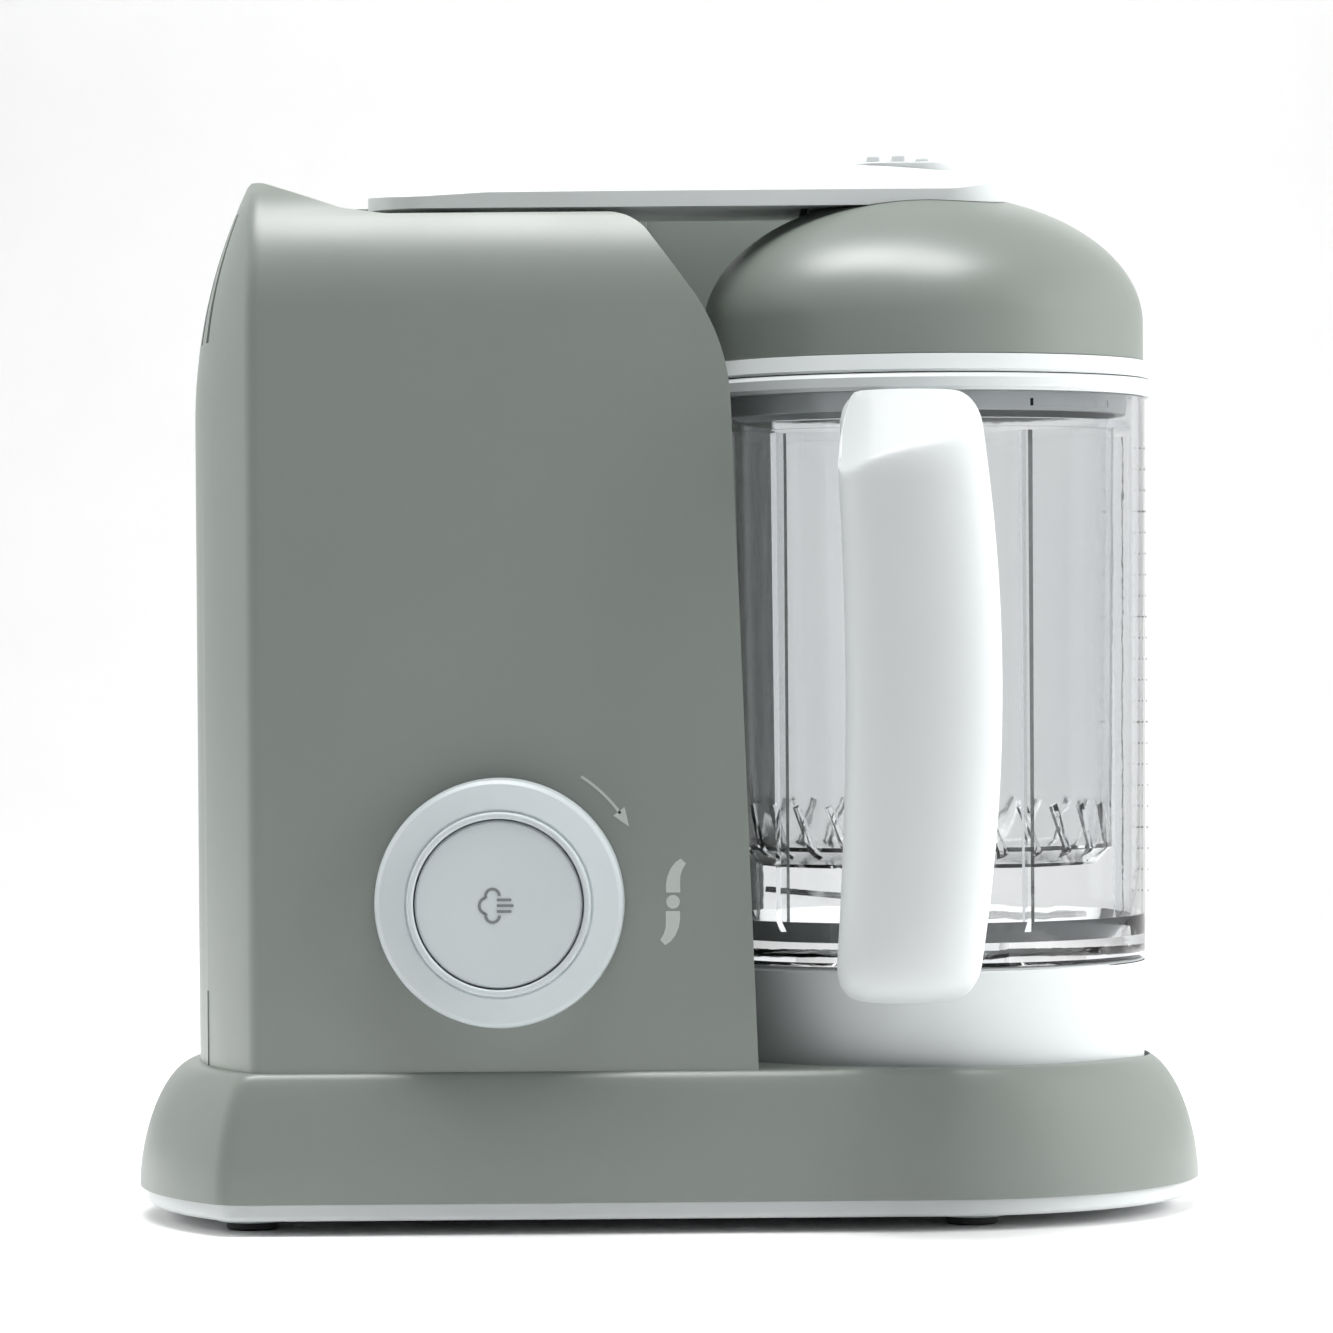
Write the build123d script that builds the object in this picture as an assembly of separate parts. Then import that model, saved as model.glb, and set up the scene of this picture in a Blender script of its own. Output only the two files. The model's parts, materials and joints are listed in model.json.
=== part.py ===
from build123d import *
import os
from math import asin, cos, degrees, radians, sin, sqrt

# A baby food maker: a column with a water boiler and a motor, and beside it a clear
# jar with blades, a steam basket and a domed lid whose arm reaches over the column.
# X runs to the right, Y to the back and Z up, in millimetres. The table is at Z = 0.

# The drawing's Y = 0 is the middle of the base. The handle stands out in front, so the
# finished pieces move back by this much to put the origin under the whole object's middle.
ORIGIN_SHIFT_Y = 17.1

# Clearances
GAP = 0.3               # between pieces that move apart
FIT = 0.05              # radial play of a shaft in its bush
SEAT = 0.1              # between pieces of one body that only rest together

# Jar line
JAR_X = 64.0            # upright axis shared by the jar, blades, coupling and lid
JAR_FLOOR_Z = 61.3      # underside of the clear jar
JAR_RIM_Z = 198.0
JAR_R_RIM = 54.3        # outside radius at the rim
JAR_R_FOOT = 53.4       # outside radius at the foot
JAR_WALL = 3.0
JAR_FLOOR = 5.5         # thickness of the jar's floor
RIB_COUNT = 5
RIB_TOP_Z = 189.0
RIB_DEPTH = 2.5
FIRST_RIB_DEG = -136.0

# Base
TABLE_Z = 0.0
TRAY_Z = 3.4            # underside of the white tray
BASE_Z = 7.6            # lower edge of the coloured base cover
BASE_TOP_Z = 38.0
BASE_HALF_X = 130.0
BASE_HALF_Y = 66.0
BASE_CREASE_X = -105.5  # where the straight front meets the bowed left end
FLARE_END = 14.0        # how far the top draws in at the two ends
FLARE_SIDE = 6.0        # and at the front and back
FLARE_POWER = 1.8
WALL = 2.8

# Column
COLUMN_FRONT = -60.0
COLUMN_BACK = 60.0
COLUMN_LEFT = -115.0
CREASE_X = -98.0
NICHE_X = -4.0          # wall of the column that faces the jar
CHEEK = 4.0             # thickness of the front panel beside the jar
COLUMN_TOP_Z = 241.4
CREST_Z = 250.0         # top of the rim round the left end and the back
CREST_Y = 46.0          # inner face of the raised back rim
BOW_START_Z = 193.0     # above this the left end leans in
BOW_LEAN = 10.6
BOW_HEIGHT = 52.0
ROLL_R = 34.0           # roll of the front panel into the top
CORNER_R = 4.5

# Dial and button
DIAL_X = -39.5
DIAL_Z = 78.0
DIAL_R = 29.4
LIP_R = 21.2
BUTTON_R = 19.7
DIAL_HUB_R = 8.0

# Drive
MOTOR_X = -52.0
MOTOR_R = 29.0
SHAFT_R = 4.0
SMALL_PULLEY_R = 9.0
LARGE_PULLEY_R = 18.0
BELT_Z = 16.0
BELT_WIDTH = 8.0
DOG_COUNT = 3

# Boiler
BOILER_X = -40.0
BOILER_R = 31.0
MOUTH_R = 14.0

# Lid and arm
LID_R = 54.0
DOME_FOOT_Z = 207.1
DOME_SPRING_Z = 216.5   # where the straight skirt turns into the dome
DOME_TOP_Z = 249.0
ARM_LEFT = -72.0
ARM_RIGHT = 84.0
ARM_Z = 244.6           # underside of the arm
ARM_HALF_Y = 24.0
DISH_X = 57.0           # middle of the finger dish on the arm

# Handle
HANDLE_TURN = -4.5      # the handle stands a little towards the column
HANDLE_HALF_X = 17.3
HANDLE_R = 99.5


def block(x0, x1, y0, y1, z0, z1):
    """Upright box between two corners."""
    return Pos((x0 + x1) / 2, (y0 + y1) / 2, (z0 + z1) / 2) * Box(x1 - x0, y1 - y0, z1 - z0)


def rod(x, y, low, high, radius):
    """Upright cylinder."""
    return Pos(x, y, (low + high) / 2) * Cylinder(radius, high - low)


def tube(x, y, low, high, outer, inner):
    """Upright tube."""
    return rod(x, y, low, high, outer) - rod(x, y, low - 1, high + 1, inner)


def rod_y(x, z, front, back, radius):
    """Cylinder that lies front to back."""
    return Pos(x, (front + back) / 2, z) * Rot(90, 0, 0) * Cylinder(radius, back - front)


def turned(outline, x):
    """Solid of revolution about the upright line at x, from (radius, height) corners."""
    face = make_face(Plane.XZ * Polyline(*outline, close=True))
    return Pos(x, 0, 0) * revolve(face, Axis.Z)


def turned_y(outline):
    """Solid of revolution about the dial's axis, from (radius, Y) corners."""
    face = make_face(Polyline(*outline, close=True))
    return Pos(DIAL_X, 0, DIAL_Z) * revolve(face, Axis.Y)


def across(outline, front, back):
    """Prism that runs front to back, from a closed line in X and Z."""
    return Pos(0, back, 0) * extrude(Plane.XZ * make_face(outline), back - front)


def plate_outline(x0, x1, z0, z1, radius):
    """Upright rectangle with rounded corners."""
    corners = [(x0, z0), (x1, z0), (x1, z1), (x0, z1)]
    return FilletPolyline(*corners, radius=radius, close=True)


def around(piece, count, x):
    """Copies of a piece spaced evenly round the upright line at x."""
    step = 360 / count
    return [Pos(x, 0, 0) * Rot(0, 0, step * i) * Pos(-x, 0, 0) * piece for i in range(count)]


def screw(x, y, head_z, length, radius):
    """Pan head screw that points up, with a cross recess in its head."""
    head = rod(x, y, head_z, head_z + radius, 1.9 * radius)
    shank = rod(x, y, head_z + radius, head_z + radius + length, radius)
    slot = block(x - radius, x + radius, y - 0.3, y + 0.3, head_z - 1, head_z + radius / 2)
    cross = block(x - 0.3, x + 0.3, y - radius, y + radius, head_z - 1, head_z + radius / 2)
    return head + shank - slot - cross


# ---------------------------------------------------------------- base

BOSS_SPOTS = [(-86, -44), (-86, 44), (6, -52), (6, 52), (116, 0)]
FOOT_SPOTS = [(-99.5, -45), (-99.5, 45), (72, -45), (72, 45)]
COLUMN_SPOTS = [(-97, -30), (-97, 30), (-12, -30), (-12, 30)]
RECESS_R = 54.3
RECESS_Z = 34.0
BOSS_R = 4.0
SCREW_R = 1.6


def base_section(share, inset, z):
    """Base plan: straight front and back, bowed left end, half oval right end.

    share runs from 0 at the lower edge to 1 at the top, where the flare ends.
    """
    lean = 1 - (1 - share ** FLARE_POWER) ** (1 / FLARE_POWER)
    half_y = BASE_HALF_Y - FLARE_SIDE * lean - inset
    right = BASE_HALF_X - FLARE_END * lean - inset
    left = -BASE_HALF_X + FLARE_END * lean + inset
    crease = BASE_CREASE_X + FLARE_SIDE * lean + inset
    outline = [
        Line((crease, -half_y), (JAR_X, -half_y)),
        EllipticalCenterArc((JAR_X, 0), right - JAR_X, half_y, start_angle=-90, arc_size=180),
        Line((JAR_X, half_y), (crease, half_y)),
        ThreePointArc((crease, half_y), (left, 0), (crease, -half_y)),
    ]
    face = make_face(outline)
    corners = [v for v in face.vertices() if v.X < crease + 1]
    return Pos(0, 0, z) * fillet(corners, CORNER_R + 2)


def flared(inset, low, high):
    """Solid that follows the base's flare between two heights."""
    shares = [sin(radians(90 * i / 14)) for i in range(15)]
    return loft([base_section(share, inset, low + share * (high - low)) for share in shares], ruled=True)


def make_base_cover():
    shell = flared(0, BASE_Z, BASE_TOP_Z) - flared(WALL, BASE_Z, BASE_TOP_Z - WALL)
    shell += rod(JAR_X, 0, RECESS_Z - WALL, BASE_TOP_Z - WALL, RECESS_R + WALL)
    shell -= rod(JAR_X, 0, RECESS_Z, BASE_TOP_Z + 1, RECESS_R)
    shell += rod(JAR_X, 0, 28, RECESS_Z + 2, 11)
    shell -= rod(JAR_X, 0, 25, RECESS_Z + 3, 8 + SEAT)
    for x, y in BOSS_SPOTS:
        top = RECESS_Z - 1 if x > JAR_X else BASE_TOP_Z - WALL
        shell += rod(x, y, BASE_Z, top, BOSS_R)
        shell -= rod(x, y, BASE_Z - 1, BASE_Z + 14, SCREW_R + SEAT)
    shell -= block(-82, -22, -28, 28, BASE_TOP_Z - 5, BASE_TOP_Z + 1)
    for x, y in COLUMN_SPOTS:
        shell -= rod(x, y, BASE_TOP_Z - 5, BASE_TOP_Z + 1, SCREW_R + 2 * SEAT)
    return shell


def make_base_tray():
    rim = 1.8
    floor = 2.2
    tray = extrude(base_section(0, rim, TRAY_Z), BASE_Z - SEAT - TRAY_Z)
    tray = chamfer(tray.faces().sort_by(Axis.Z)[0].edges(), 0.8)
    tray -= extrude(base_section(0, rim + WALL, TRAY_Z + floor), BASE_Z)
    for x, y in FOOT_SPOTS:
        tray += rod(x, y, TRAY_Z - 1.4, TRAY_Z + floor, 8.2)
        tray -= rod(x, y, TRAY_Z - 2, TRAY_Z + floor + 1, 3 + SEAT)
    for x, y in BOSS_SPOTS:
        tray += rod(x, y, TRAY_Z + 1, BASE_Z - SEAT, BOSS_R + 1)
        tray -= rod(x, y, TRAY_Z - 1, BASE_Z + 1, SCREW_R + 2 * SEAT)
        tray -= rod(x, y, TRAY_Z - 1, TRAY_Z + 2, 3.4)
    vents = [block(x, x + 3, -22, 22, TRAY_Z - 1, TRAY_Z + 3) for x in range(-66, -36, 8)]
    return tray - vents


def make_foot(x, y):
    pad = rod(x, y, TABLE_Z, TRAY_Z - 1.5, 6.2)
    pad = chamfer(pad.faces().sort_by(Axis.Z)[0].edges(), 0.5)
    barb = rod(x, y, TRAY_Z + 2.4, TRAY_Z + 3.4, 3.8)
    return pad + barb + rod(x, y, TABLE_Z + 1, TRAY_Z + 2.5, 3)


# ---------------------------------------------------------------- column


def column_section(z, inset, right):
    """Column plan at one height: flat front and back, bowed left end, rounded corners."""
    above = max(0.0, z - (CREST_Z + 2 - ROLL_R))
    roll = ROLL_R - sqrt(ROLL_R ** 2 - above ** 2)
    front = COLUMN_FRONT + roll + inset
    back = COLUMN_BACK - inset
    rise = max(0.0, z - BOW_START_Z) / BOW_HEIGHT
    end = COLUMN_LEFT + BOW_LEAN * rise ** 2 + inset
    crease = CREASE_X + inset
    outline = [
        Line((right, back), (crease, back)),
        ThreePointArc((crease, back), (end, 0), (crease, front)),
        Line((crease, front), (right, front)),
        Line((right, front), (right, back)),
    ]
    face = make_face(outline)
    corners = [v for v in face.vertices() if v.X < crease + 1]
    return Pos(0, 0, z) * fillet(corners, CORNER_R - 0.8 * inset)


def column_body(inset, low, high, right):
    """Upright solid that follows the column's outside, drawn in by inset."""
    bend = BOW_START_Z
    levels = [bend + (high - bend) * i / 18 for i in range(19)]
    straight = extrude(column_section(low, inset, right), bend - low)
    return straight + loft([column_section(z, inset, right) for z in levels], ruled=True)


def front_profile():
    """Column seen from the front: left crest, level top, sweep down beside the jar."""
    corners = [
        (-130, 0), (-130, CREST_Z), (-96, CREST_Z), (-76.5, 243), (-66, COLUMN_TOP_Z),
        (-7, COLUMN_TOP_Z), (15.3, 210.5), (22.5, 0),
    ]
    return FilletPolyline(*corners, radius=[0, 0, 7, 8, 20, 12, 48, 0], close=True)


def back_profile():
    """Rear wall behind the lid: level with the crest, then swept down out of sight."""
    corners = [(-130, 0), (-130, CREST_Z), (47, CREST_Z), (43, 224), (20, 196), (20, 0)]
    return FilletPolyline(*corners, radius=[0, 0, 8, 20, 20, 0], close=True)


VENT_YS = range(-30, 31, 10)
VENT_HALF = 1.7
COVER_SPOTS = [(-82, 58), (-18.5, 58), (-82, 222), (-18.5, 222)]
GLAND_X = -66.0
GLAND_Z = 72.0
GLAND_R = 5.0


def niche():
    """Space beside the jar: open to the right, its front wall follows the rolled panel."""
    deep = block(NICHE_X, 80, COLUMN_FRONT + ROLL_R, COLUMN_BACK - WALL, 0, 300)
    shallow = block(NICHE_X, 80, COLUMN_FRONT, COLUMN_FRONT + ROLL_R + 6, 0, 300)
    return deep + (shallow & column_body(CHEEK, BASE_TOP_Z - 8, CREST_Z + 1, 90))


def make_column_shell():
    body = column_body(0, BASE_TOP_Z, CREST_Z, 60)
    front = body & across(front_profile(), COLUMN_FRONT - 5, CREST_Y)
    back = body & across(back_profile(), CREST_Y, COLUMN_BACK + 5)
    shell = front + back
    shell -= niche()
    shell -= column_body(WALL, BASE_TOP_Z - 1, COLUMN_TOP_Z - WALL, NICHE_X - WALL)
    # bosses for the screws that come up through the base
    for x, y in COLUMN_SPOTS:
        foot = rod(x, y, BASE_TOP_Z, BASE_TOP_Z + 18, BOSS_R)
        side = NICHE_X - 1 if x > -50 else COLUMN_LEFT + 4
        foot += block(min(x, side), max(x, side), y - 1, y + 1, BASE_TOP_Z, BASE_TOP_Z + 18)
        shell += foot - rod(x, y, 0, BASE_TOP_Z + 14, SCREW_R + SEAT)
    # ledge and opening for the rear cover
    ledge = block(-91, -10, 51, 58, 48, 232) - block(-86, -15, 50, 59, 53, 227)
    for x, z in COVER_SPOTS:
        ledge += rod_y(x, z, 48, 54, 5)
    shell += ledge
    shell -= across(plate_outline(-89, -12, 50, 230, 5), 57.3, 61)
    shell -= across(plate_outline(-85, -16, 54, 226, 3), 45, 62) - ledge
    for x, z in COVER_SPOTS:
        shell -= rod_y(x, z, 47, 60, SCREW_R + SEAT)
    # dial, boiler mouth and vents
    shell -= rod_y(DIAL_X, DIAL_Z, -70, -50, DIAL_HUB_R + GAP)
    shell -= rod(BOILER_X, 0, COLUMN_TOP_Z - 10, 300, MOUTH_R + 5)
    for y in VENT_YS:
        shell -= block(-125, -98, y - VENT_HALF, y + VENT_HALF, 212, 243)
    return shell


def make_rear_cover():
    plate = across(plate_outline(-88.8, -12.2, 50.2, 229.8, 4.8), 57.4, COLUMN_BACK)
    plate -= rod_y(GLAND_X, GLAND_Z, 50, 70, GLAND_R + 2 + SEAT)
    for x, z in COVER_SPOTS:
        plate -= rod_y(x, z, 50, 70, SCREW_R + 2 * SEAT)
        plate -= rod_y(x, z, 58.6, 70, 3.4)
    for row in range(9):
        z = 104 + 7 * row
        plate -= block(-72, -29, 50, 70, z, z + 2.6)
    return plate


def make_cover_screw(x, z):
    head = rod_y(x, z, 58.6 + SEAT, 60, 3.0)
    slots = block(x - 1.6, x + 1.6, 59.2, 62, z - 0.3, z + 0.3)
    slots += block(x - 0.3, x + 0.3, 59.2, 62, z - 1.6, z + 1.6)
    return head + rod_y(x, z, 50, 59, SCREW_R) - slots


def make_cord_gland():
    """Bush in the rear cover that the mains lead comes out of."""
    gland = rod_y(GLAND_X, GLAND_Z, 55.5, 62.5, GLAND_R + 2) + rod_y(GLAND_X, GLAND_Z, 60, 62.5, GLAND_R + 3.4)
    gland += rod_y(GLAND_X, GLAND_Z, 54, 57.2, GLAND_R + 3.4)
    return gland - rod_y(GLAND_X, GLAND_Z, 50, 70, 3.6)


# ---------------------------------------------------------------- motor and drive

MOTOR_LOW = 52.0
MOTOR_HIGH = 142.0
CAN_WALL = 2.0
BRACKET_Z = BASE_TOP_Z + SEAT
BRACKET_SPOTS = [(-86, 0), (-18, 0)]
MOTOR_SPOTS = [(-52, -20), (-52, 20)]


def make_motor_can():
    can = rod(MOTOR_X, 0, MOTOR_LOW, MOTOR_HIGH, MOTOR_R)
    can -= rod(MOTOR_X, 0, MOTOR_LOW + CAN_WALL, MOTOR_HIGH - CAN_WALL, MOTOR_R - CAN_WALL)
    can += rod(MOTOR_X, 0, MOTOR_LOW, MOTOR_LOW + 7, 9) + rod(MOTOR_X, 0, MOTOR_HIGH - 7, MOTOR_HIGH, 9)
    can -= rod(MOTOR_X, 0, MOTOR_LOW - 5, MOTOR_HIGH + 5, SHAFT_R + FIT)
    for slot in around(rod(MOTOR_X + 18, 0, MOTOR_HIGH - 5, MOTOR_HIGH + 5, 4), 6, MOTOR_X):
        can -= slot
    return can


def make_motor_magnets():
    ring = tube(MOTOR_X, 0, 68, 124, MOTOR_R - CAN_WALL - SEAT, 22)
    gap = block(MOTOR_X - 6, MOTOR_X + 6, -MOTOR_R, MOTOR_R, 60, 130)
    return ring - gap


def make_motor_bracket():
    """Bridge over the opening in the base that the motor is screwed down to."""
    legs = block(-91, -80, -14, 14, BRACKET_Z, MOTOR_LOW - SEAT)
    legs += block(-24, -13, -14, 14, BRACKET_Z, MOTOR_LOW - SEAT)
    legs -= block(-90, -81, -12, 12, BRACKET_Z - 1, MOTOR_LOW - 3)
    legs -= block(-23, -14, -12, 12, BRACKET_Z - 1, MOTOR_LOW - 3)
    plate = block(-91, -13, -14, 14, MOTOR_LOW - 3, MOTOR_LOW - SEAT)
    plate += rod(MOTOR_X, 0, MOTOR_LOW - 3, MOTOR_LOW - SEAT, 26)
    bracket = legs + plate - rod(MOTOR_X, 0, 0, 60, 9)
    for x, y in MOTOR_SPOTS:
        bracket -= rod(x, y, 0, 60, SCREW_R + 2 * SEAT)
    return bracket


def make_motor_shaft():
    return chamfer(rod(MOTOR_X, 0, 11.5, 158, SHAFT_R).edges(), 0.5)


def make_motor_armature():
    """Laminated core with end windings and the commutator above it."""
    core = tube(MOTOR_X, 0, 72, 120, 20.5, SHAFT_R + FIT)
    for slot in around(block(MOTOR_X + 12, MOTOR_X + 21, -1.2, 1.2, 71, 121), 10, MOTOR_X):
        core -= slot
    core += tube(MOTOR_X, 0, 64, 72, 16, SHAFT_R + FIT) + tube(MOTOR_X, 0, 120, 127, 16, SHAFT_R + FIT)
    return core + tube(MOTOR_X, 0, 127, 134, 9, SHAFT_R + FIT)


def make_cooling_fan():
    fan = tube(MOTOR_X, 0, 145, 155, 7, SHAFT_R + FIT) + tube(MOTOR_X, 0, 145, 146.2, 26, SHAFT_R + FIT)
    blade = block(MOTOR_X + 6.5, MOTOR_X + 25.5, -0.7, 0.7, 145.5, 155)
    for vane in around(blade, 9, MOTOR_X):
        fan += vane
    return fan


def make_pulley(x, radius, low, bore):
    """Flanged pulley for the flat belt."""
    high = low + BELT_WIDTH + 1
    wheel = rod(x, 0, low, high, radius) + rod(x, 0, low - 1.2, low, radius + 2.2)
    wheel += rod(x, 0, high, high + 1.2, radius + 2.2)
    return wheel - rod(x, 0, low - 5, high + 5, bore + FIT)


def belt_loop(grow):
    """Closed line round both pulleys, grow away from their rims."""
    small = SMALL_PULLEY_R + grow
    large = LARGE_PULLEY_R + grow
    span = JAR_X - MOTOR_X
    tilt = degrees(asin((large - small) / span))
    lean = radians(90 + tilt)
    near = [(MOTOR_X + small * cos(lean), side * small * sin(lean)) for side in (-1, 1)]
    far = [(JAR_X + large * cos(lean), side * large * sin(lean)) for side in (-1, 1)]
    return [
        Line(near[0], far[0]),
        ThreePointArc(far[0], (JAR_X + large, 0), far[1]),
        Line(far[1], near[1]),
        ThreePointArc(near[1], (MOTOR_X - small, 0), near[0]),
    ]


def make_drive_belt():
    outer = Pos(0, 0, BELT_Z + 0.5) * make_face(belt_loop(GAP + 1.6))
    inner = Pos(0, 0, BELT_Z - 1) * make_face(belt_loop(GAP))
    return extrude(outer, BELT_WIDTH) - extrude(inner, BELT_WIDTH + 4)


def make_coupling_bush():
    bush = tube(JAR_X, 0, 28, RECESS_Z + 2.1, 8, SHAFT_R + FIT)
    return bush + tube(JAR_X, 0, RECESS_Z + 2.1, RECESS_Z + 2.8, 9.5, SHAFT_R + FIT)


def make_coupling_shaft():
    return chamfer(rod(JAR_X, 0, 12, 43, SHAFT_R).edges(), 0.4)


def dog_plan(grow):
    """Hub with square dogs round it; the socket is the same plan a little larger."""
    plan = Circle(6 + grow)
    for i in range(DOG_COUNT):
        turn = Rot(0, 0, 360 / DOG_COUNT * i)
        plan += turn * Pos(5, 0) * Rectangle(10 + 2 * grow, 4.5 + 2 * grow)
    return Pos(JAR_X, 0) * plan


def make_drive_dog():
    dog = extrude(Pos(0, 0, RECESS_Z + 3.1) * dog_plan(0), 8)
    return dog - rod(JAR_X, 0, 0, 60, SHAFT_R + FIT)


# ---------------------------------------------------------------- boiler and electrics

TANK_LOW = 176.0
TANK_HIGH = 230.0
TANK_WALL = 1.2


def make_boiler_tank():
    outline = [
        (0, TANK_LOW), (BOILER_R, TANK_LOW), (BOILER_R, TANK_HIGH - 8), (MOUTH_R + 3, TANK_HIGH),
        (MOUTH_R + 1.2, TANK_HIGH + 7.6), (MOUTH_R, TANK_HIGH + 7.6), (MOUTH_R, TANK_HIGH - 1),
        (BOILER_R - TANK_WALL, TANK_HIGH - 9), (BOILER_R - TANK_WALL, TANK_LOW + TANK_WALL),
        (0, TANK_LOW + TANK_WALL),
    ]
    return turned(outline, BOILER_X)


def make_mouth_seal():
    """Soft ring between the tank's neck and the opening in the column's top."""
    outline = [
        (MOUTH_R + 0.3, TANK_HIGH + 7.8), (MOUTH_R + 4.8, TANK_HIGH + 7.8), (MOUTH_R + 4.8, COLUMN_TOP_Z + 0.4),
        (MOUTH_R + 3, COLUMN_TOP_Z + 1.2), (MOUTH_R + 0.3, COLUMN_TOP_Z + 0.8),
    ]
    return turned(outline, BOILER_X)


def make_heater():
    plate = rod(BOILER_X, 0, TANK_LOW - 3, TANK_LOW - SEAT, BOILER_R - 2)
    ring = Pos(BOILER_X, 0, TANK_LOW - 5.5) * Torus(22, 3.2)
    terminals = rod(BOILER_X - 20, -8, 164.5, 172, 1.6) + rod(BOILER_X - 20, 8, 164.5, 172, 1.6)
    return plate + ring + terminals


def make_thermostat():
    return rod(BOILER_X, 0, 167.5, TANK_LOW - 3 - SEAT, 9) + block(BOILER_X - 7, BOILER_X + 7, -3, 3, 163.5, 168)


def make_thermal_fuse():
    """Fuse that lies across under the heater plate, on its two leads."""
    body = Pos(BOILER_X + 13, 0, 170.6) * Rot(90, 0, 0) * Cylinder(2, 10)
    return body + Pos(BOILER_X + 13, 0, 170.6) * Rot(90, 0, 0) * Cylinder(0.5, 20)


def make_boiler_bracket():
    """Sheet ring round the tank with arms that reach both walls of the column."""
    bracket = tube(BOILER_X, 0, 198, 210, BOILER_R + 1.4, BOILER_R + SEAT)
    bracket += block(BOILER_X + BOILER_R + 0.6, NICHE_X - WALL - SEAT, -7, 7, 200, 201.6)
    bracket += block(-111, BOILER_X - BOILER_R - 0.6, -7, 7, 200, 201.6)
    return bracket


def make_control_board():
    board = block(-97, -95.4, -32, 32, 62, 130)
    board += block(-95.4, -90, -24, -10, 100, 122)
    board += block(-95.4, -88, 4, 20, 96, 118)
    for y in (-14, -4, 6):
        board += block(-95.4, -91.4, y, y + 7, 68, 76)
    return board


def make_board_posts():
    """Pegs that hold the board off the bowed end wall."""
    pegs = [(-26, 66), (26, 66), (-26, 126), (26, 126)]
    reach = COLUMN_LEFT + WALL + 4.6
    return [Pos(0, y, z) * block(reach, -97.05, -2, 2, -2, 2) for y, z in pegs]


def make_switch_plate():
    """Plate behind the dial that carries the two switches."""
    plate = block(-66, -12, -33.6, -31.8, 62, 98) - rod_y(-60, 92, -40, -20, 2)
    return plate + block(-66, -64, -55, -33, 62, 70) + block(-14, -12, -55, -33, 62, 70)


def make_steam_switch():
    body = block(DIAL_X - 10, DIAL_X + 10, -40, -33.7, 73, 83)
    return body + rod_y(DIAL_X, DIAL_Z, -42, -39, 1.6)


def make_blade_switch():
    body = block(-24.5, -18.3, -48, -33.7, 66, 90)
    return body + block(-25.6, -24.4, -45, -42, 76, 80)


# ---------------------------------------------------------------- dial and button

DIAL_BACK = COLUMN_FRONT - 0.4
DIAL_FACE = COLUMN_FRONT - 12.6
BUTTON_STEM_R = 4.6
CLIP_R = 7.2            # groove in the hub for the snap ring


def make_dial():
    outline = [
        (BUTTON_STEM_R + GAP, -50), (DIAL_HUB_R, -50), (DIAL_HUB_R, -51.3), (CLIP_R, -51.3),
        (CLIP_R, -53.1), (DIAL_HUB_R, -53.1), (DIAL_HUB_R, DIAL_BACK), (DIAL_R, DIAL_BACK),
        (DIAL_R, DIAL_BACK - 3.4), (DIAL_R - 1.0, DIAL_BACK - 4.6), (LIP_R + 0.6, DIAL_FACE + 0.9),
        (LIP_R, DIAL_FACE), (LIP_R - 0.8, DIAL_FACE), (BUTTON_R + GAP, DIAL_FACE + 0.8),
        (BUTTON_R + GAP, DIAL_FACE + 7), (BUTTON_STEM_R + GAP, DIAL_FACE + 7),
    ]
    return turned_y(outline)


def make_dial_clip():
    """Snap ring that holds the dial's hub behind the panel."""
    clip = turned_y([(CLIP_R + SEAT, -53), (11, -53), (11, -51.4), (CLIP_R + SEAT, -51.4)])
    return clip - block(DIAL_X - 2, DIAL_X + 2, -60, -50, DIAL_Z, DIAL_Z + 20)


def make_button():
    outline = [
        (0, DIAL_FACE + 1.1), (BUTTON_R - 0.8, DIAL_FACE + 0.7), (BUTTON_R, DIAL_FACE + 1.4),
        (BUTTON_R, DIAL_FACE + 4.2), (BUTTON_STEM_R, DIAL_FACE + 4.2), (BUTTON_STEM_R, -47), (0, -47),
    ]
    return turned_y(outline)


def coil(radius, wire, height, pitch):
    """Round wire wound into an upright helix from the origin."""
    path = Helix(pitch, height, radius)
    start = Plane(path @ 0, z_dir=path % 0)
    return sweep(start * Circle(wire), path=path)


def make_dial_spring():
    spring = coil(13.5, 0.6, 2.4, 1.6)
    return Pos(DIAL_X, -55.8, DIAL_Z) * Rot(-90, 0, 0) * spring


def make_button_spring():
    """Return spring between the end of the stem, pressed in, and the steam switch."""
    spring = coil(3.4, 0.4, 3.0, 1.2)
    return Pos(DIAL_X, -43.9, DIAL_Z) * Rot(-90, 0, 0) * spring


# ---------------------------------------------------------------- collar and blades

COLLAR_LOW = RECESS_Z + GAP
COLLAR_HIGH = JAR_FLOOR_Z - GAP
TOWER_R = 13.0
BUSH_R = 8.0


def make_jar_collar():
    """White foot ring under the jar, with the tower that carries the blades."""
    outline = [
        (52.9, COLLAR_LOW), (53.5, COLLAR_HIGH - 0.8), (52.9, COLLAR_HIGH), (21, COLLAR_HIGH),
        (21, COLLAR_HIGH - 1.6), (15.4, COLLAR_HIGH - 1.6), (15.4, COLLAR_HIGH), (TOWER_R, COLLAR_HIGH),
        (TOWER_R, 69), (BUSH_R + SEAT, 69), (BUSH_R + SEAT, 53.5), (17.5, 53.5), (17.5, 36.5), (20, 36.5),
        (20, 56), (50.4, 56), (50, COLLAR_LOW),
    ]
    return turned(outline, JAR_X)


def make_collar_seal():
    return tube(JAR_X, 0, COLLAR_HIGH - 1.5, COLLAR_HIGH - SEAT, 20.8, 15.6)


def make_blade_bush():
    return tube(JAR_X, 0, 53.6, 69, BUSH_R, SHAFT_R + FIT)


def make_blade_shaft():
    shaft = rod(JAR_X, 0, 47.2, 81, SHAFT_R)
    return chamfer(shaft.edges(), 0.4)


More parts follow.
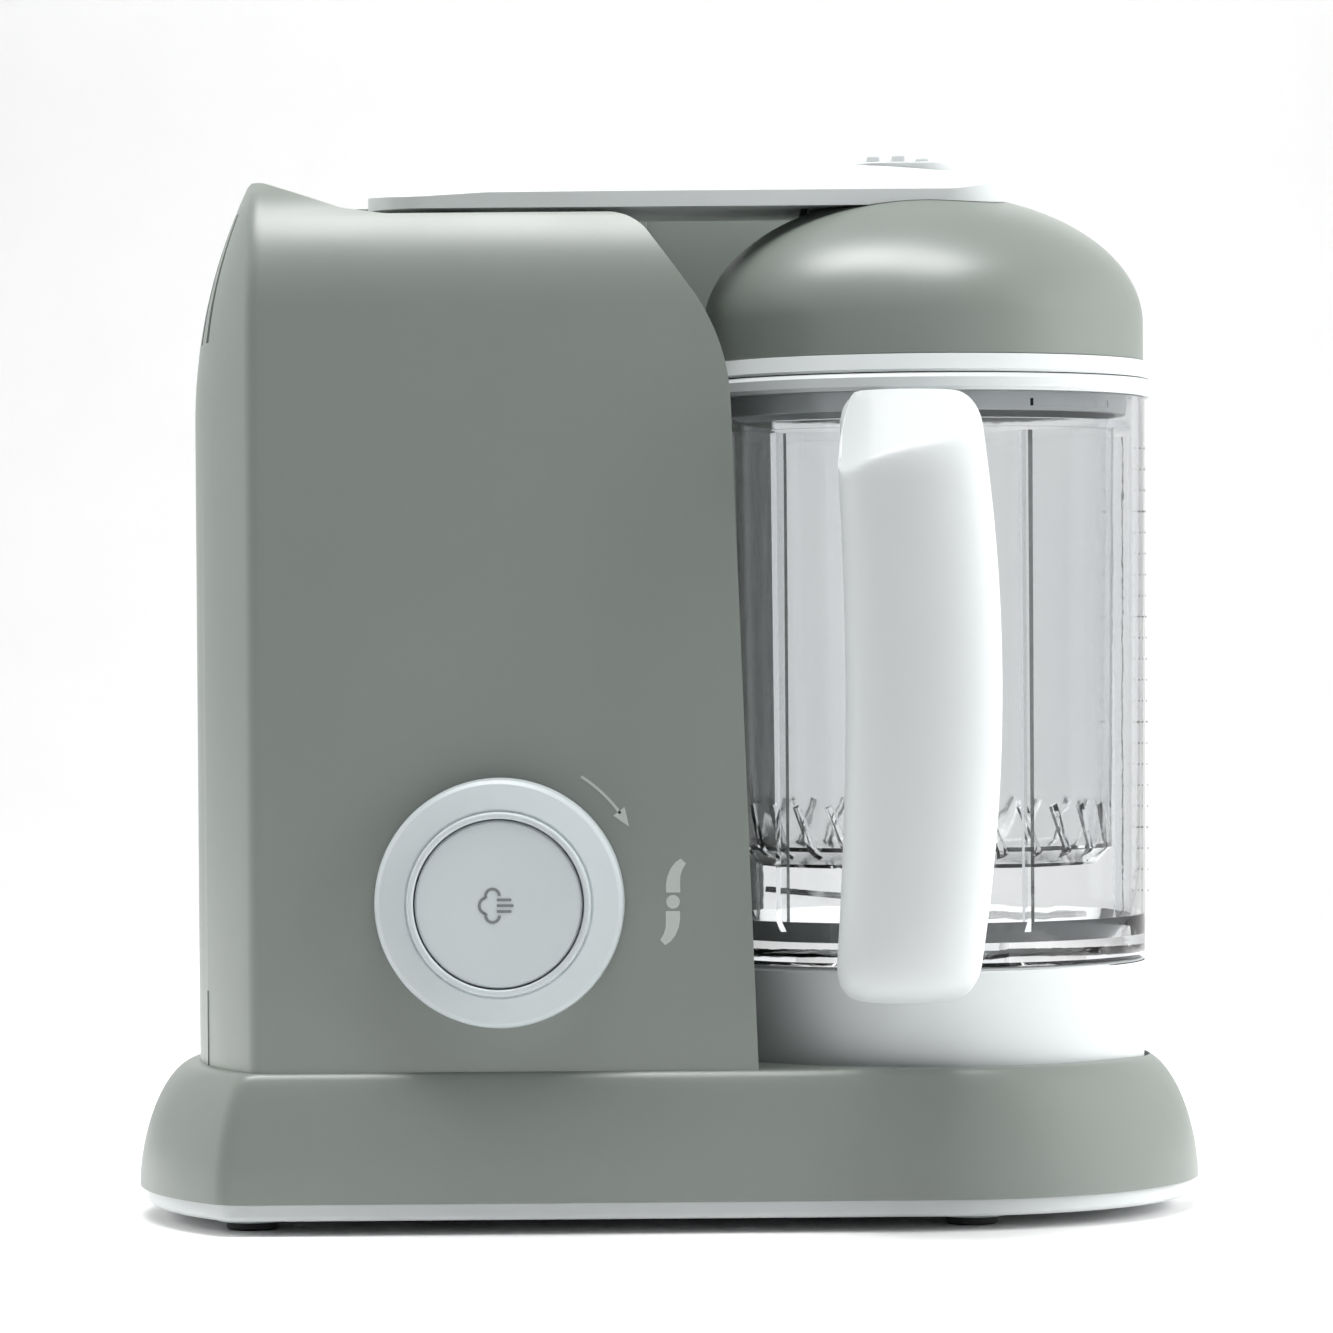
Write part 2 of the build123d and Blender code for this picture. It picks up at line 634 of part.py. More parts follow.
def make_blade_socket():
    """Cup under the collar that drops over the driving dogs."""
    cup = rod(JAR_X, 0, RECESS_Z + 3.4, 53.2, 13.4)
    cup -= extrude(Pos(0, 0, RECESS_Z + 2) * dog_plan(0.5), 11)
    return cup - rod(JAR_X, 0, 47, 60, SHAFT_R + FIT)


def make_blades():
    """Two bent steel wings on one hub, low on one side and high on the other."""
    hub = tube(JAR_X, 0, 69.6, 77, 8, SHAFT_R + FIT)
    wing = make_face([
        Line((3, -6), (3, 6)), Line((3, 6), (22, 5)), ThreePointArc((22, 5), (33, 2), (40, -7)),
        Line((40, -7), (36, -9)), ThreePointArc((36, -9), (28, -6.5), (20, -6)), Line((20, -6), (3, -6)),
    ])
    wing = extrude(wing, 1.4)
    low = Pos(JAR_X, 0, 70.4) * Rot(0, 0, 20) * wing
    high = Pos(JAR_X, 0, 73.6) * Rot(0, 0, 200) * Rot(0, -6, 0) * wing
    blades = hub + low + high
    return blades - rod(JAR_X, 0, 60, 90, SHAFT_R + FIT)


def make_blade_nut():
    nut = Pos(0, 0, 77.1) * extrude(Pos(JAR_X, 0) * RegularPolygon(6.5, 6), 3)
    nut += rod(JAR_X, 0, 80.1, 82.4, 5)
    return nut - rod(JAR_X, 0, 70, 81.2, SHAFT_R + FIT)


# ---------------------------------------------------------------- jar, basket and handle


def make_jar():
    inner = JAR_R_RIM - JAR_WALL
    floor = JAR_FLOOR_Z + JAR_FLOOR
    outline = [
        (TOWER_R + GAP, JAR_FLOOR_Z), (JAR_R_FOOT - 1, JAR_FLOOR_Z), (JAR_R_FOOT, JAR_FLOOR_Z + 1),
        (JAR_R_RIM, JAR_RIM_Z), (inner, JAR_RIM_Z), (JAR_R_FOOT - JAR_WALL, floor + 5),
        (JAR_R_FOOT - JAR_WALL - 5, floor), (TOWER_R + 4, floor), (TOWER_R + 3, floor + 2),
        (TOWER_R + GAP, floor + 2),
    ]
    jar = turned(outline, JAR_X)
    reach = JAR_R_FOOT - JAR_WALL - RIB_DEPTH
    rib = block(JAR_X + reach, JAR_X + reach + 4, -0.9, 0.9, floor + 1, RIB_TOP_Z)
    first = Pos(JAR_X, 0, 0) * Rot(0, 0, FIRST_RIB_DEG) * Pos(-JAR_X, 0, 0) * rib
    for each in around(first, RIB_COUNT, JAR_X):
        jar += each
    ramp = tube(JAR_X, 0, 194.6, 196.4, JAR_R_RIM + 1.1, JAR_R_RIM - 1)
    ramp &= block(JAR_X - 12, JAR_X + 12, -80, 80, 190, 200)
    for each in around(ramp, 2, JAR_X):
        jar += Pos(JAR_X, 0, 0) * Rot(0, 0, 38) * Pos(-JAR_X, 0, 0) * each
    return jar


BASKET_R = 46.6
BASKET_WALL = 1.6
BASKET_LOW = 84.4
BASKET_HIGH = 192.0
SLOT_COUNT = 30


def make_basket():
    foot = BASKET_R - 1.2
    outline = [
        (0, BASKET_LOW + 2), (12, BASKET_LOW + 2), (16, BASKET_LOW), (foot - 4, BASKET_LOW),
        (foot, BASKET_LOW + 4), (BASKET_R, BASKET_HIGH - 2), (50.4, BASKET_HIGH - 2), (50.4, BASKET_HIGH),
        (BASKET_R - BASKET_WALL, BASKET_HIGH), (foot - BASKET_WALL, BASKET_LOW + 5),
        (foot - 5, BASKET_LOW + BASKET_WALL), (17, BASKET_LOW + BASKET_WALL),
        (13, BASKET_LOW + 2 + BASKET_WALL), (0, BASKET_LOW + 2 + BASKET_WALL),
    ]
    basket = turned(outline, JAR_X)
    side = Pos(JAR_X + foot, 0, BASKET_LOW + 9) * Rot(24, 0, 0) * Box(8, 1.8, 13)
    for slot in around(side, SLOT_COUNT, JAR_X):
        basket -= slot
    for radius in (22, 29, 36):
        hole = rod(JAR_X + radius, 0, BASKET_LOW - 2, BASKET_LOW + 3, 1.5)
        basket -= around(hole, radius // 2 + 2, JAR_X)
    return basket


def handle_outline():
    """Handle's outer side line, from the jar at the rim round the grip to the toe."""
    corners = [(-50, 197.7), (-79, 197.7), (-HANDLE_R, 181), (-HANDLE_R, 72), (-92, 55.5), (-50, 54.6)]
    return FilletPolyline(*corners, radius=[0, 14, 9, 30, 10, 0], close=True)


def side_prism(outline, half):
    """Prism centred on the jar axis, from a closed line in Y and Z."""
    return Pos(JAR_X - half, 0, 0) * extrude(Plane.YZ * make_face(outline), 2 * half)


def turn_handle(piece):
    return Pos(JAR_X, 0, 0) * Rot(0, 0, HANDLE_TURN) * Pos(-JAR_X, 0, 0) * piece


FINGER_GAP = [(-58.5, 78), (-86, 78), (-86, 178), (-58.5, 178)]
SPLIT_LINE = [(-93, 66), (-93, 178), (-79, 192.5), (-62, 192.5)]


def handle_solid():
    """Whole handle before it is split and opened, with its long edges rounded."""
    solid = side_prism(handle_outline(), HANDLE_HALF_X)
    sides = [e for e in solid.edges() if abs(abs(e.center().X - JAR_X) - HANDLE_HALF_X) < 0.01]
    return fillet([e for e in sides if e.center().Y < -55], 5)


def outer_side(play):
    """Block in front of the line that parts the handle's two shells."""
    low, knee, top, root = [(y + play, z - play) for y, z in SPLIT_LINE]
    corners = [low, knee, top, root, (root[0], 220), (-120, 220), (-120, low[1])]
    return side_prism(Polyline(*corners, close=True), 40)


def make_handle_front():
    """Outer shell of the handle: the face of the grip and the thumb rest."""
    return turn_handle(handle_solid() & outer_side(0))


def make_handle_back():
    """Inner shell of the handle: the back of the grip, the toe and both bridges to the jar."""
    gap = FilletPolyline(*FINGER_GAP, radius=8, close=True)
    back = handle_solid() - outer_side(SEAT) - side_prism(gap, 40)
    return turn_handle(back - rod(JAR_X, 0, 0, 300, JAR_R_RIM + 0.2))


# ---------------------------------------------------------------- lid and arm

SEAL_LOW = JAR_RIM_Z + GAP
SEAL_HIGH = 202.4
RING_LOW = SEAL_HIGH + GAP


def make_lid_seal():
    """Bulging ring that stays on the jar's rim while the lid turns."""
    outline = [
        (47.2, SEAL_LOW - 4.5), (49.6, SEAL_LOW - 4.5), (50.4, SEAL_LOW), (55.6, SEAL_LOW),
        (56.4, SEAL_LOW + 0.9), (56.4, SEAL_HIGH - 1), (55.4, SEAL_HIGH), (47.2, SEAL_HIGH),
    ]
    return turned(outline, JAR_X)


def make_lid_ring():
    outline = [
        (46.5, RING_LOW), (55.3, RING_LOW), (55.7, RING_LOW + 0.6), (54.4, DOME_FOOT_Z - SEAT),
        (51.2, DOME_FOOT_Z - SEAT), (51.0, DOME_FOOT_Z + 5), (48.6, DOME_FOOT_Z + 5), (46.5, RING_LOW + 2),
    ]
    return turned(outline, JAR_X)


def dome_solid(inset):
    """Full dome: straight skirt, then a quarter ellipse up to the crown."""
    radius = LID_R - inset
    rise = DOME_TOP_Z - DOME_SPRING_Z - inset
    outline = [
        Line((0, DOME_FOOT_Z), (radius, DOME_FOOT_Z)),
        Line((radius, DOME_FOOT_Z), (radius, DOME_SPRING_Z)),
        EllipticalCenterArc((0, DOME_SPRING_Z), radius, rise, start_angle=0, arc_size=90),
        Line((0, DOME_SPRING_Z + rise), (0, DOME_FOOT_Z)),
    ]
    return Pos(JAR_X, 0, 0) * revolve(Plane.XZ * make_face(outline), Axis.Z)


def dome_cutter():
    """Faceted stand-in for the dome, just outside it, that shapes what rests on it."""
    grow = 1.003 + SEAT / LID_R
    rise = DOME_TOP_Z - DOME_SPRING_Z
    steps = [radians(7.5 * i) for i in range(13)]
    curve = [(grow * LID_R * cos(a), DOME_SPRING_Z + grow * rise * sin(a)) for a in steps]
    return turned([(0, DOME_FOOT_Z), (grow * LID_R, DOME_FOOT_Z), *curve], JAR_X)


def make_lid_dome():
    return dome_solid(0) - dome_solid(WALL) - rod(JAR_X, 0, 200, 300, 4)


def arm_section(x, half, crest):
    """Arm cross-section: flat underside, low straight sides and a crowned top."""
    side = ARM_Z + 2.2 + 1.6 * min(1, (x - ARM_LEFT) / 30)
    points = [(-half, ARM_Z), (half, ARM_Z), (half, side)]
    outline = [
        Line(points[0], points[1]),
        Line(points[1], points[2]),
        ThreePointArc(points[2], (0, crest), (-half, side)),
        Line((-half, side), points[0]),
    ]
    return Plane(origin=(x, 0, 0), x_dir=(0, 1, 0), z_dir=(1, 0, 0)) * make_face(outline)


def arm_top(x):
    """Height of the arm's ridge: it climbs to the right and falls away at the end."""
    climb = (x - ARM_LEFT) / (30 - ARM_LEFT)
    if x <= 30:
        return 248.4 + 8.8 * sin(radians(90 * climb))
    return 257.2 - 5.6 * ((x - 30) / (ARM_RIGHT - 30)) ** 3


def arm_body():
    stops = [ARM_LEFT + (ARM_RIGHT - ARM_LEFT) * i / 16 for i in range(17)]
    body = loft([arm_section(x, ARM_HALF_Y, arm_top(x)) for x in stops], ruled=True)
    plan = Pos((ARM_LEFT + ARM_RIGHT) / 2, 0, ARM_Z - 1) * RectangleRounded(
        ARM_RIGHT - ARM_LEFT - 0.2, 2 * ARM_HALF_Y - 0.2, 15)
    return body & extrude(plan, 20)


STEAM_END_X = 34.0


def make_lid_arm():
    """Hollow cover: a steam channel runs inside it from the boiler's mouth to the dome."""
    arm = arm_body() - dome_cutter()
    arm -= block(-66, -20, -20, 20, ARM_Z - 1, 246.4)
    arm -= block(-30, STEAM_END_X, -20, 20, ARM_Z - 1, 248.4)
    arm -= block(-10, 36, -13, 13, ARM_Z - 1, 252)
    return arm - extrude(Pos(DISH_X, 0, 253.2) * SlotOverall(34, 22), 10)


def make_arm_plate():
    """Flat plate that closes the arm's underside over the column."""
    plate = block(-65.9, STEAM_END_X - SEAT, -19.9, 19.9, ARM_Z, ARM_Z + 1.6)
    return plate - rod(BOILER_X, 0, 200, 300, 6)


def make_arm_gasket():
    """Soft pad under the arm that covers the boiler's mouth."""
    outline = [(6.2, ARM_Z - 1.4), (MOUTH_R + 2.6, ARM_Z - 1.4), (MOUTH_R + 4, ARM_Z - SEAT), (6.2, ARM_Z - SEAT)]
    return turned(outline, BOILER_X)


def make_latch_slider():
    """Thumb slide in the arm's dish, with three grip ribs."""
    plate = Pos(DISH_X + 2.5, 0, 253.2 + GAP) * extrude(SlotOverall(34 - 5.6, 22 - 0.8), 2.6)
    for x, top in ((51.8, 258.4), (58, 258.6), (63.8, 257.8)):
        rib = block(x - 1.6, x + 1.6, -8, 8, 255, top)
        plate += fillet(rib.faces().sort_by(Axis.Z)[-1].edges(), 1.2)
    return plate


# ---------------------------------------------------------------- everything together

PIECES = {
    "base_cover": make_base_cover(),
    "base_tray": make_base_tray(),
    "rubber_feet": [make_foot(x, y) for x, y in FOOT_SPOTS],
    "tray_screws": [screw(x, y, TRAY_Z + 0.3, 11, SCREW_R) for x, y in BOSS_SPOTS],
    "column_shell": make_column_shell(),
    "column_screws": [screw(x, y, BASE_TOP_Z - WALL - 3.4, 14, SCREW_R) for x, y in COLUMN_SPOTS],
    "rear_cover": make_rear_cover(),
    "rear_cover_screws": [make_cover_screw(x, z) for x, z in COVER_SPOTS],
    "cord_gland": make_cord_gland(),
    "motor_can": make_motor_can(),
    "motor_magnets": make_motor_magnets(),
    "motor_bracket": make_motor_bracket(),
    "motor_shaft": make_motor_shaft(),
    "motor_armature": make_motor_armature(),
    "cooling_fan": make_cooling_fan(),
    "drive_pulley": make_pulley(MOTOR_X, SMALL_PULLEY_R, BELT_Z, SHAFT_R),
    "drive_belt": make_drive_belt(),
    "driven_pulley": make_pulley(JAR_X, LARGE_PULLEY_R, BELT_Z, SHAFT_R),
    "coupling_shaft": make_coupling_shaft(),
    "coupling_bush": make_coupling_bush(),
    "drive_dog": make_drive_dog(),
    "boiler_tank": make_boiler_tank(),
    "mouth_seal": make_mouth_seal(),
    "boiler_heater": make_heater(),
    "boiler_thermostat": make_thermostat(),
    "thermal_fuse": make_thermal_fuse(),
    "boiler_bracket": make_boiler_bracket(),
    "control_board": make_control_board(),
    "board_posts": make_board_posts(),
    "switch_plate": make_switch_plate(),
    "steam_switch": make_steam_switch(),
    "blade_switch": make_blade_switch(),
    "dial_knob": make_dial(),
    "dial_clip": make_dial_clip(),
    "dial_spring": make_dial_spring(),
    "steam_button": make_button(),
    "button_spring": make_button_spring(),
    "jar_collar": make_jar_collar(),
    "collar_seal": make_collar_seal(),
    "blade_bush": make_blade_bush(),
    "blade_shaft": make_blade_shaft(),
    "blade_socket": make_blade_socket(),
    "chopping_blades": make_blades(),
    "blade_nut": make_blade_nut(),
    "jar_bowl": make_jar(),
    "steam_basket": make_basket(),
    "handle_front": make_handle_front(),
    "handle_back": make_handle_back(),
    "lid_seal": make_lid_seal(),
    "lid_ring": make_lid_ring(),
    "lid_dome": make_lid_dome(),
    "lid_arm": make_lid_arm(),
    "arm_plate": make_arm_plate(),
    "arm_gasket": make_arm_gasket(),
    "latch_slider": make_latch_slider(),
}


def solids_of(piece):
    parts = piece if isinstance(piece, (list, tuple)) else [piece]
    return [solid for part in parts for solid in part.solids()]


os.makedirs("parts", exist_ok=True)
for name, piece in PIECES.items():
    solids = [Pos(0, ORIGIN_SHIFT_Y, 0) * solid for solid in solids_of(piece)]
    shape = solids[0] if len(solids) == 1 else Compound(children=solids)
    export_step(shape, f"parts/{name}.step")
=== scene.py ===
import json
from math import cos, pi, radians, sin, sqrt
import bmesh
import bpy
from mathutils import Matrix, Vector

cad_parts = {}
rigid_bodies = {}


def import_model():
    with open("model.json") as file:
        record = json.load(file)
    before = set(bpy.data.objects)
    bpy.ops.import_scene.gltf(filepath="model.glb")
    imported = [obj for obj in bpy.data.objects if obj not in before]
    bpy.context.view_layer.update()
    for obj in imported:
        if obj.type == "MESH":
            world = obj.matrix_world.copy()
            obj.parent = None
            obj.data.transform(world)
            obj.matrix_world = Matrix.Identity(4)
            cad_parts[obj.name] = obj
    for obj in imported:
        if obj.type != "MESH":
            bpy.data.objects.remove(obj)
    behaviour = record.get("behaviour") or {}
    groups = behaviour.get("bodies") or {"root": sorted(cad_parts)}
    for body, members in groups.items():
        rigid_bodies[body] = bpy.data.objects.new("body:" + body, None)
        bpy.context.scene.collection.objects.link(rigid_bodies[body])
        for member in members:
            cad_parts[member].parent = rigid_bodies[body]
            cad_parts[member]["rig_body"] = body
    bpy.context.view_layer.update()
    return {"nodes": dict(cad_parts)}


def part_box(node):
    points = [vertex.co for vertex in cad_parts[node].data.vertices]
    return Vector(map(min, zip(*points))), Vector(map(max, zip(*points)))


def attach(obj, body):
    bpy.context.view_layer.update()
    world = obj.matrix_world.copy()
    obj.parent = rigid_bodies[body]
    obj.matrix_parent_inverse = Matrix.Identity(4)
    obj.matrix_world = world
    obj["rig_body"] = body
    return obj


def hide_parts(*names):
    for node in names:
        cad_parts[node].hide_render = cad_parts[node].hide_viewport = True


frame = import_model()
MM = 0.001

# ---------------------------------------------------------------- camera
# A long lens at about half the machine's height, straight in front of it. It looks almost
# level and is rolled by a little less than half a degree.

base_low, base_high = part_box("base_cover")
MID_Y = (base_low.y + base_high.y) / 2      # middle of the base, front to back
CAMERA_SIDE = 0.0002
CAMERA_AWAY = 1.4
CAMERA_HEIGHT = 0.136
CAMERA_TILT = radians(0.116)
CAMERA_ROLL = radians(0.45)
LENS_LENGTH = 153.5

camera = bpy.data.objects.new("camera", bpy.data.cameras.new("camera"))
camera.data.sensor_width = 36
camera.data.lens = LENS_LENGTH
camera.data.clip_end = 20
camera.matrix_world = (
    Matrix.Translation((CAMERA_SIDE, MID_Y - CAMERA_AWAY, CAMERA_HEIGHT))
    @ Matrix.Rotation(pi / 2 - CAMERA_TILT, 4, "X")
    @ Matrix.Rotation(-CAMERA_ROLL, 4, "Z")
)
bpy.context.scene.collection.objects.link(camera)
bpy.context.scene.camera = camera


# ---------------------------------------------------------------- studio
# A white sweep: a pale floor that curves up into a back wall, in an even white room, with
# soft lamps above, at both sides and behind, and one more for the back wall.

ROOM_FILL = 0.035           # how bright the room is as light, as a reflection and seen
ROOM_SHEEN = 0.45
ROOM_SEEN = 1.0


def link(obj):
    bpy.context.scene.collection.objects.link(obj)
    return obj


def mesh_piece(name, vertices, faces):
    """New mesh piece from points in metres and faces."""
    mesh = bpy.data.meshes.new(name)
    mesh.from_pydata([tuple(v) for v in vertices], [], faces)
    mesh.validate()
    return link(bpy.data.objects.new(name, mesh))


def new_material(name):
    """Material with an empty node tree but for its shader; returns tree and shader."""
    material = bpy.data.materials.new(name)
    material.use_nodes = True
    shader = material.node_tree.nodes["Principled BSDF"]
    return material, material.node_tree, shader


def maths(tree, operation, a, b=None):
    """Math node on two sockets or numbers; returns its output."""
    node = tree.nodes.new("ShaderNodeMath")
    node.operation = operation
    for slot, value in enumerate((a, b)):
        if value is None:
            continue
        if isinstance(value, (int, float)):
            node.inputs[slot].default_value = value
        else:
            tree.links.new(value, node.inputs[slot])
    return node.outputs[0]


def add_sweep():
    """Floor and back wall in one sheet, with a wide bend between them."""
    half_width = 1.15
    front_edge = -1.0
    bend = 0.5
    wall_y = 2.2
    wall_high = 2.6
    turns = [radians(6 * i) for i in range(1, 16)]
    line = [(front_edge, 0.0), (wall_y - bend, 0.0)]
    line += [(wall_y - bend + bend * sin(a), bend - bend * cos(a)) for a in turns]
    line.append((wall_y, wall_high))
    points = [(x, y, z) for y, z in line for x in (-half_width, half_width)]
    faces = [(2 * i, 2 * i + 1, 2 * i + 3, 2 * i + 2) for i in range(len(line) - 1)]
    sweep = mesh_piece("studio_sweep", points, faces)
    sweep.data.shade_smooth()
    material, tree, shader = new_material("studio_paper")
    noise = tree.nodes.new("ShaderNodeTexNoise")
    noise.inputs["Scale"].default_value = 40
    ramp = tree.nodes.new("ShaderNodeValToRGB")
    ramp.color_ramp.elements[0].color = (0.90, 0.90, 0.90, 1)
    ramp.color_ramp.elements[1].color = (0.93, 0.93, 0.93, 1)
    tree.links.new(noise.outputs["Fac"], ramp.inputs["Fac"])
    tree.links.new(ramp.outputs["Color"], shader.inputs["Base Color"])
    shader.inputs["Roughness"].default_value = 0.9
    sweep.data.materials.append(material)


def add_lamp(name, place, size, power, aim=(0, MID_Y, 0.13), mirrored=False):
    """Soft rectangular lamp, not seen through clear pieces; only a mirrored one is reflected."""
    lamp = bpy.data.objects.new(name, bpy.data.lights.new(name, "AREA"))
    lamp.data.shape = "RECTANGLE"
    lamp.data.size, lamp.data.size_y = size
    lamp.data.energy = power
    lamp.visible_glossy = mirrored
    lamp.visible_transmission = False
    lamp.location = place
    lamp.rotation_euler = (Vector(aim) - Vector(place)).to_track_quat("-Z", "Y").to_euler()
    link(lamp)


add_sweep()
add_lamp("top_softbox", (-0.1, -0.16, 0.95), (0.9, 0.35), 10, mirrored=True)
add_lamp("left_softbox", (-1.05, 0.35, 0.45), (1.0, 0.8), 12)
add_lamp("right_softbox", (1.05, -0.15, 0.4), (1.0, 0.8), 15)
add_lamp("rear_softbox", (0.75, 0.8, 0.45), (0.5, 0.8), 9)
add_lamp("backdrop_lamp", (0, 1.3, 1.9), (2.4, 0.4), 31, (0, 2.2, 0.7))


def make_room():
    """Dim room for the light that falls on things, and white where it is looked at."""
    world = bpy.data.worlds.new("studio_room")
    world.use_nodes = True
    tree = world.node_tree
    strength = tree.nodes.new("ShaderNodeMix")
    path = tree.nodes.new("ShaderNodeLightPath")
    seen = maths(tree, "MAXIMUM", path.outputs["Is Camera Ray"], path.outputs["Is Transmission Ray"])
    seen = maths(tree, "MAXIMUM", seen, maths(tree, "MULTIPLY", path.outputs["Is Glossy Ray"], ROOM_SHEEN))
    tree.links.new(seen, strength.inputs["Factor"])
    strength.inputs["A"].default_value = ROOM_FILL
    strength.inputs["B"].default_value = ROOM_SEEN
    room = tree.nodes["Background"]
    room.inputs["Color"].default_value = (0.97, 0.985, 1.0, 1)
    tree.links.new(strength.outputs["Result"], room.inputs["Strength"])
    bpy.context.scene.world = world


make_room()
bpy.context.scene.view_settings.view_transform = "Standard"


# ---------------------------------------------------------------- base cover
# Flared grey green base with a round recess for the jar. Like the rest of the casing it is
# injection moulded: one colour right through, a fine grain from the mould, and edges rubbed
# a little paler and smoother by handling.

def node_group(name, sockets_in, sockets_out):
    """Empty node group with named sockets; returns it with its two end nodes."""
    group = bpy.data.node_groups.new(name, "ShaderNodeTree")
    for label, kind, value in sockets_in:
        socket = group.interface.new_socket(label, in_out="INPUT", socket_type=kind)
        socket.default_value = value
    for label, kind in sockets_out:
        group.interface.new_socket(label, in_out="OUTPUT", socket_type=kind)
    return group, group.nodes.new("NodeGroupInput"), group.nodes.new("NodeGroupOutput")


def remap(tree, value, low, high, to_low, to_high):
    """Moves a value from one range to another, whose ends may be sockets."""
    node = tree.nodes.new("ShaderNodeMapRange")
    tree.links.new(value, node.inputs["Value"])
    for label, number in (("From Min", low), ("From Max", high)):
        node.inputs[label].default_value = number
    for label, number in (("To Min", to_low), ("To Max", to_high)):
        if isinstance(number, (int, float)):
            node.inputs[label].default_value = number
        else:
            tree.links.new(number, node.inputs[label])
    return node.outputs["Result"]


def make_grain_group():
    """Mould grain: small pits of one size over a slower unevenness of the surface."""
    group, given, result = node_group(
        "mould_grain",
        [("Grain size", "NodeSocketFloat", 0.0005), ("Waviness", "NodeSocketFloat", 0.2)],
        [("Height", "NodeSocketFloat"), ("Sheen patches", "NodeSocketFloat")],
    )
    place = group.nodes.new("ShaderNodeTexCoord").outputs["Object"]
    fine = group.nodes.new("ShaderNodeTexNoise")
    fine.inputs["Detail"].default_value = 3
    group.links.new(place, fine.inputs["Vector"])
    group.links.new(maths(group, "DIVIDE", 1.0, given.outputs["Grain size"]), fine.inputs["Scale"])
    slow = group.nodes.new("ShaderNodeTexNoise")
    slow.inputs["Scale"].default_value = 35
    slow.inputs["Detail"].default_value = 2
    group.links.new(place, slow.inputs["Vector"])
    wave = maths(group, "MULTIPLY", slow.outputs["Fac"], given.outputs["Waviness"])
    group.links.new(maths(group, "ADD", fine.outputs["Fac"], wave), result.inputs["Height"])
    patches = group.nodes.new("ShaderNodeTexNoise")
    patches.inputs["Scale"].default_value = 14
    patches.inputs["Detail"].default_value = 6
    patches.inputs["Roughness"].default_value = 0.62
    group.links.new(place, patches.inputs["Vector"])
    group.links.new(patches.outputs["Fac"], result.inputs["Sheen patches"])
    return group


def make_wear_group():
    """Mask of outer edges, broken up, where hands and cloths rub the surface."""
    group, given, result = node_group(
        "edge_wear",
        [("Width", "NodeSocketFloat", 0.0012), ("Break up", "NodeSocketFloat", 60.0)],
        [("Mask", "NodeSocketFloat")],
    )
    bevel = group.nodes.new("ShaderNodeBevel")
    bevel.samples = 4
    group.links.new(given.outputs["Width"], bevel.inputs["Radius"])
    dot = group.nodes.new("ShaderNodeVectorMath")
    dot.operation = "DOT_PRODUCT"
    group.links.new(bevel.outputs["Normal"], dot.inputs[0])
    group.links.new(group.nodes.new("ShaderNodeNewGeometry").outputs["Normal"], dot.inputs[1])
    edge = remap(group, dot.outputs["Value"], 0.998, 0.90, 0.0, 1.0)
    noise = group.nodes.new("ShaderNodeTexNoise")
    noise.inputs["Detail"].default_value = 4
    group.links.new(group.nodes.new("ShaderNodeTexCoord").outputs["Object"], noise.inputs["Vector"])
    group.links.new(given.outputs["Break up"], noise.inputs["Scale"])
    patchy = remap(group, noise.outputs["Fac"], 0.35, 0.65, 0.0, 1.0)
    group.links.new(maths(group, "MULTIPLY", edge, patchy), result.inputs["Mask"])
    return group


MID_GREY = (0.5, 0.5, 0.5, 1)


def make_drift_group():
    """Slow drift of one colour towards a second, and towards a third where a mask says so."""
    group, given, result = node_group(
        "colour_drift",
        [("Colour", "NodeSocketColor", MID_GREY), ("Drift colour", "NodeSocketColor", MID_GREY),
         ("Edge colour", "NodeSocketColor", MID_GREY), ("Edge mask", "NodeSocketFloat", 0.0),
         ("Scale", "NodeSocketFloat", 9.0)],
        [("Colour", "NodeSocketColor")],
    )
    noise = group.nodes.new("ShaderNodeTexNoise")
    noise.inputs["Detail"].default_value = 5
    group.links.new(group.nodes.new("ShaderNodeTexCoord").outputs["Object"], noise.inputs["Vector"])
    group.links.new(given.outputs["Scale"], noise.inputs["Scale"])
    drift = remap(group, noise.outputs["Fac"], 0.3, 0.7, 0.0, 1.0)
    last = given.outputs["Colour"]
    for factor, colour in ((drift, "Drift colour"), (given.outputs["Edge mask"], "Edge colour")):
        mix = group.nodes.new("ShaderNodeMix")
        mix.data_type = "RGBA"
        group.links.new(factor, mix.inputs["Factor"])
        group.links.new(last, mix.inputs["A"])
        group.links.new(given.outputs[colour], mix.inputs["B"])
        last = mix.outputs["Result"]
    group.links.new(last, result.inputs["Colour"])
    return group


MOULD_GRAIN = make_grain_group()
EDGE_WEAR = make_wear_group()
COLOUR_DRIFT = make_drift_group()


def place_group(tree, group, **values):
    """Puts a node group in a material and sets its inputs by name."""
    node = tree.nodes.new("ShaderNodeGroup")
    node.node_tree = group
    for label, value in values.items():
        socket = node.inputs[label.replace("_", " ")]
        if isinstance(value, bpy.types.NodeSocket):
            tree.links.new(value, socket)
        else:
            socket.default_value = value
    return node


def shade(colour, factor):
    """A colour made darker or paler, with its alpha."""
    return tuple(min(1.0, c * factor) for c in colour[:3]) + (1,)


def add_bump(tree, shader, height, strength, distance):
    """Lets a height roughen the surface's normal."""
    bump = tree.nodes.new("ShaderNodeBump")
    bump.inputs["Strength"].default_value = strength
    bump.inputs["Distance"].default_value = distance
    tree.links.new(height, bump.inputs["Height"])
    tree.links.new(bump.outputs["Normal"], shader.inputs["Normal"])


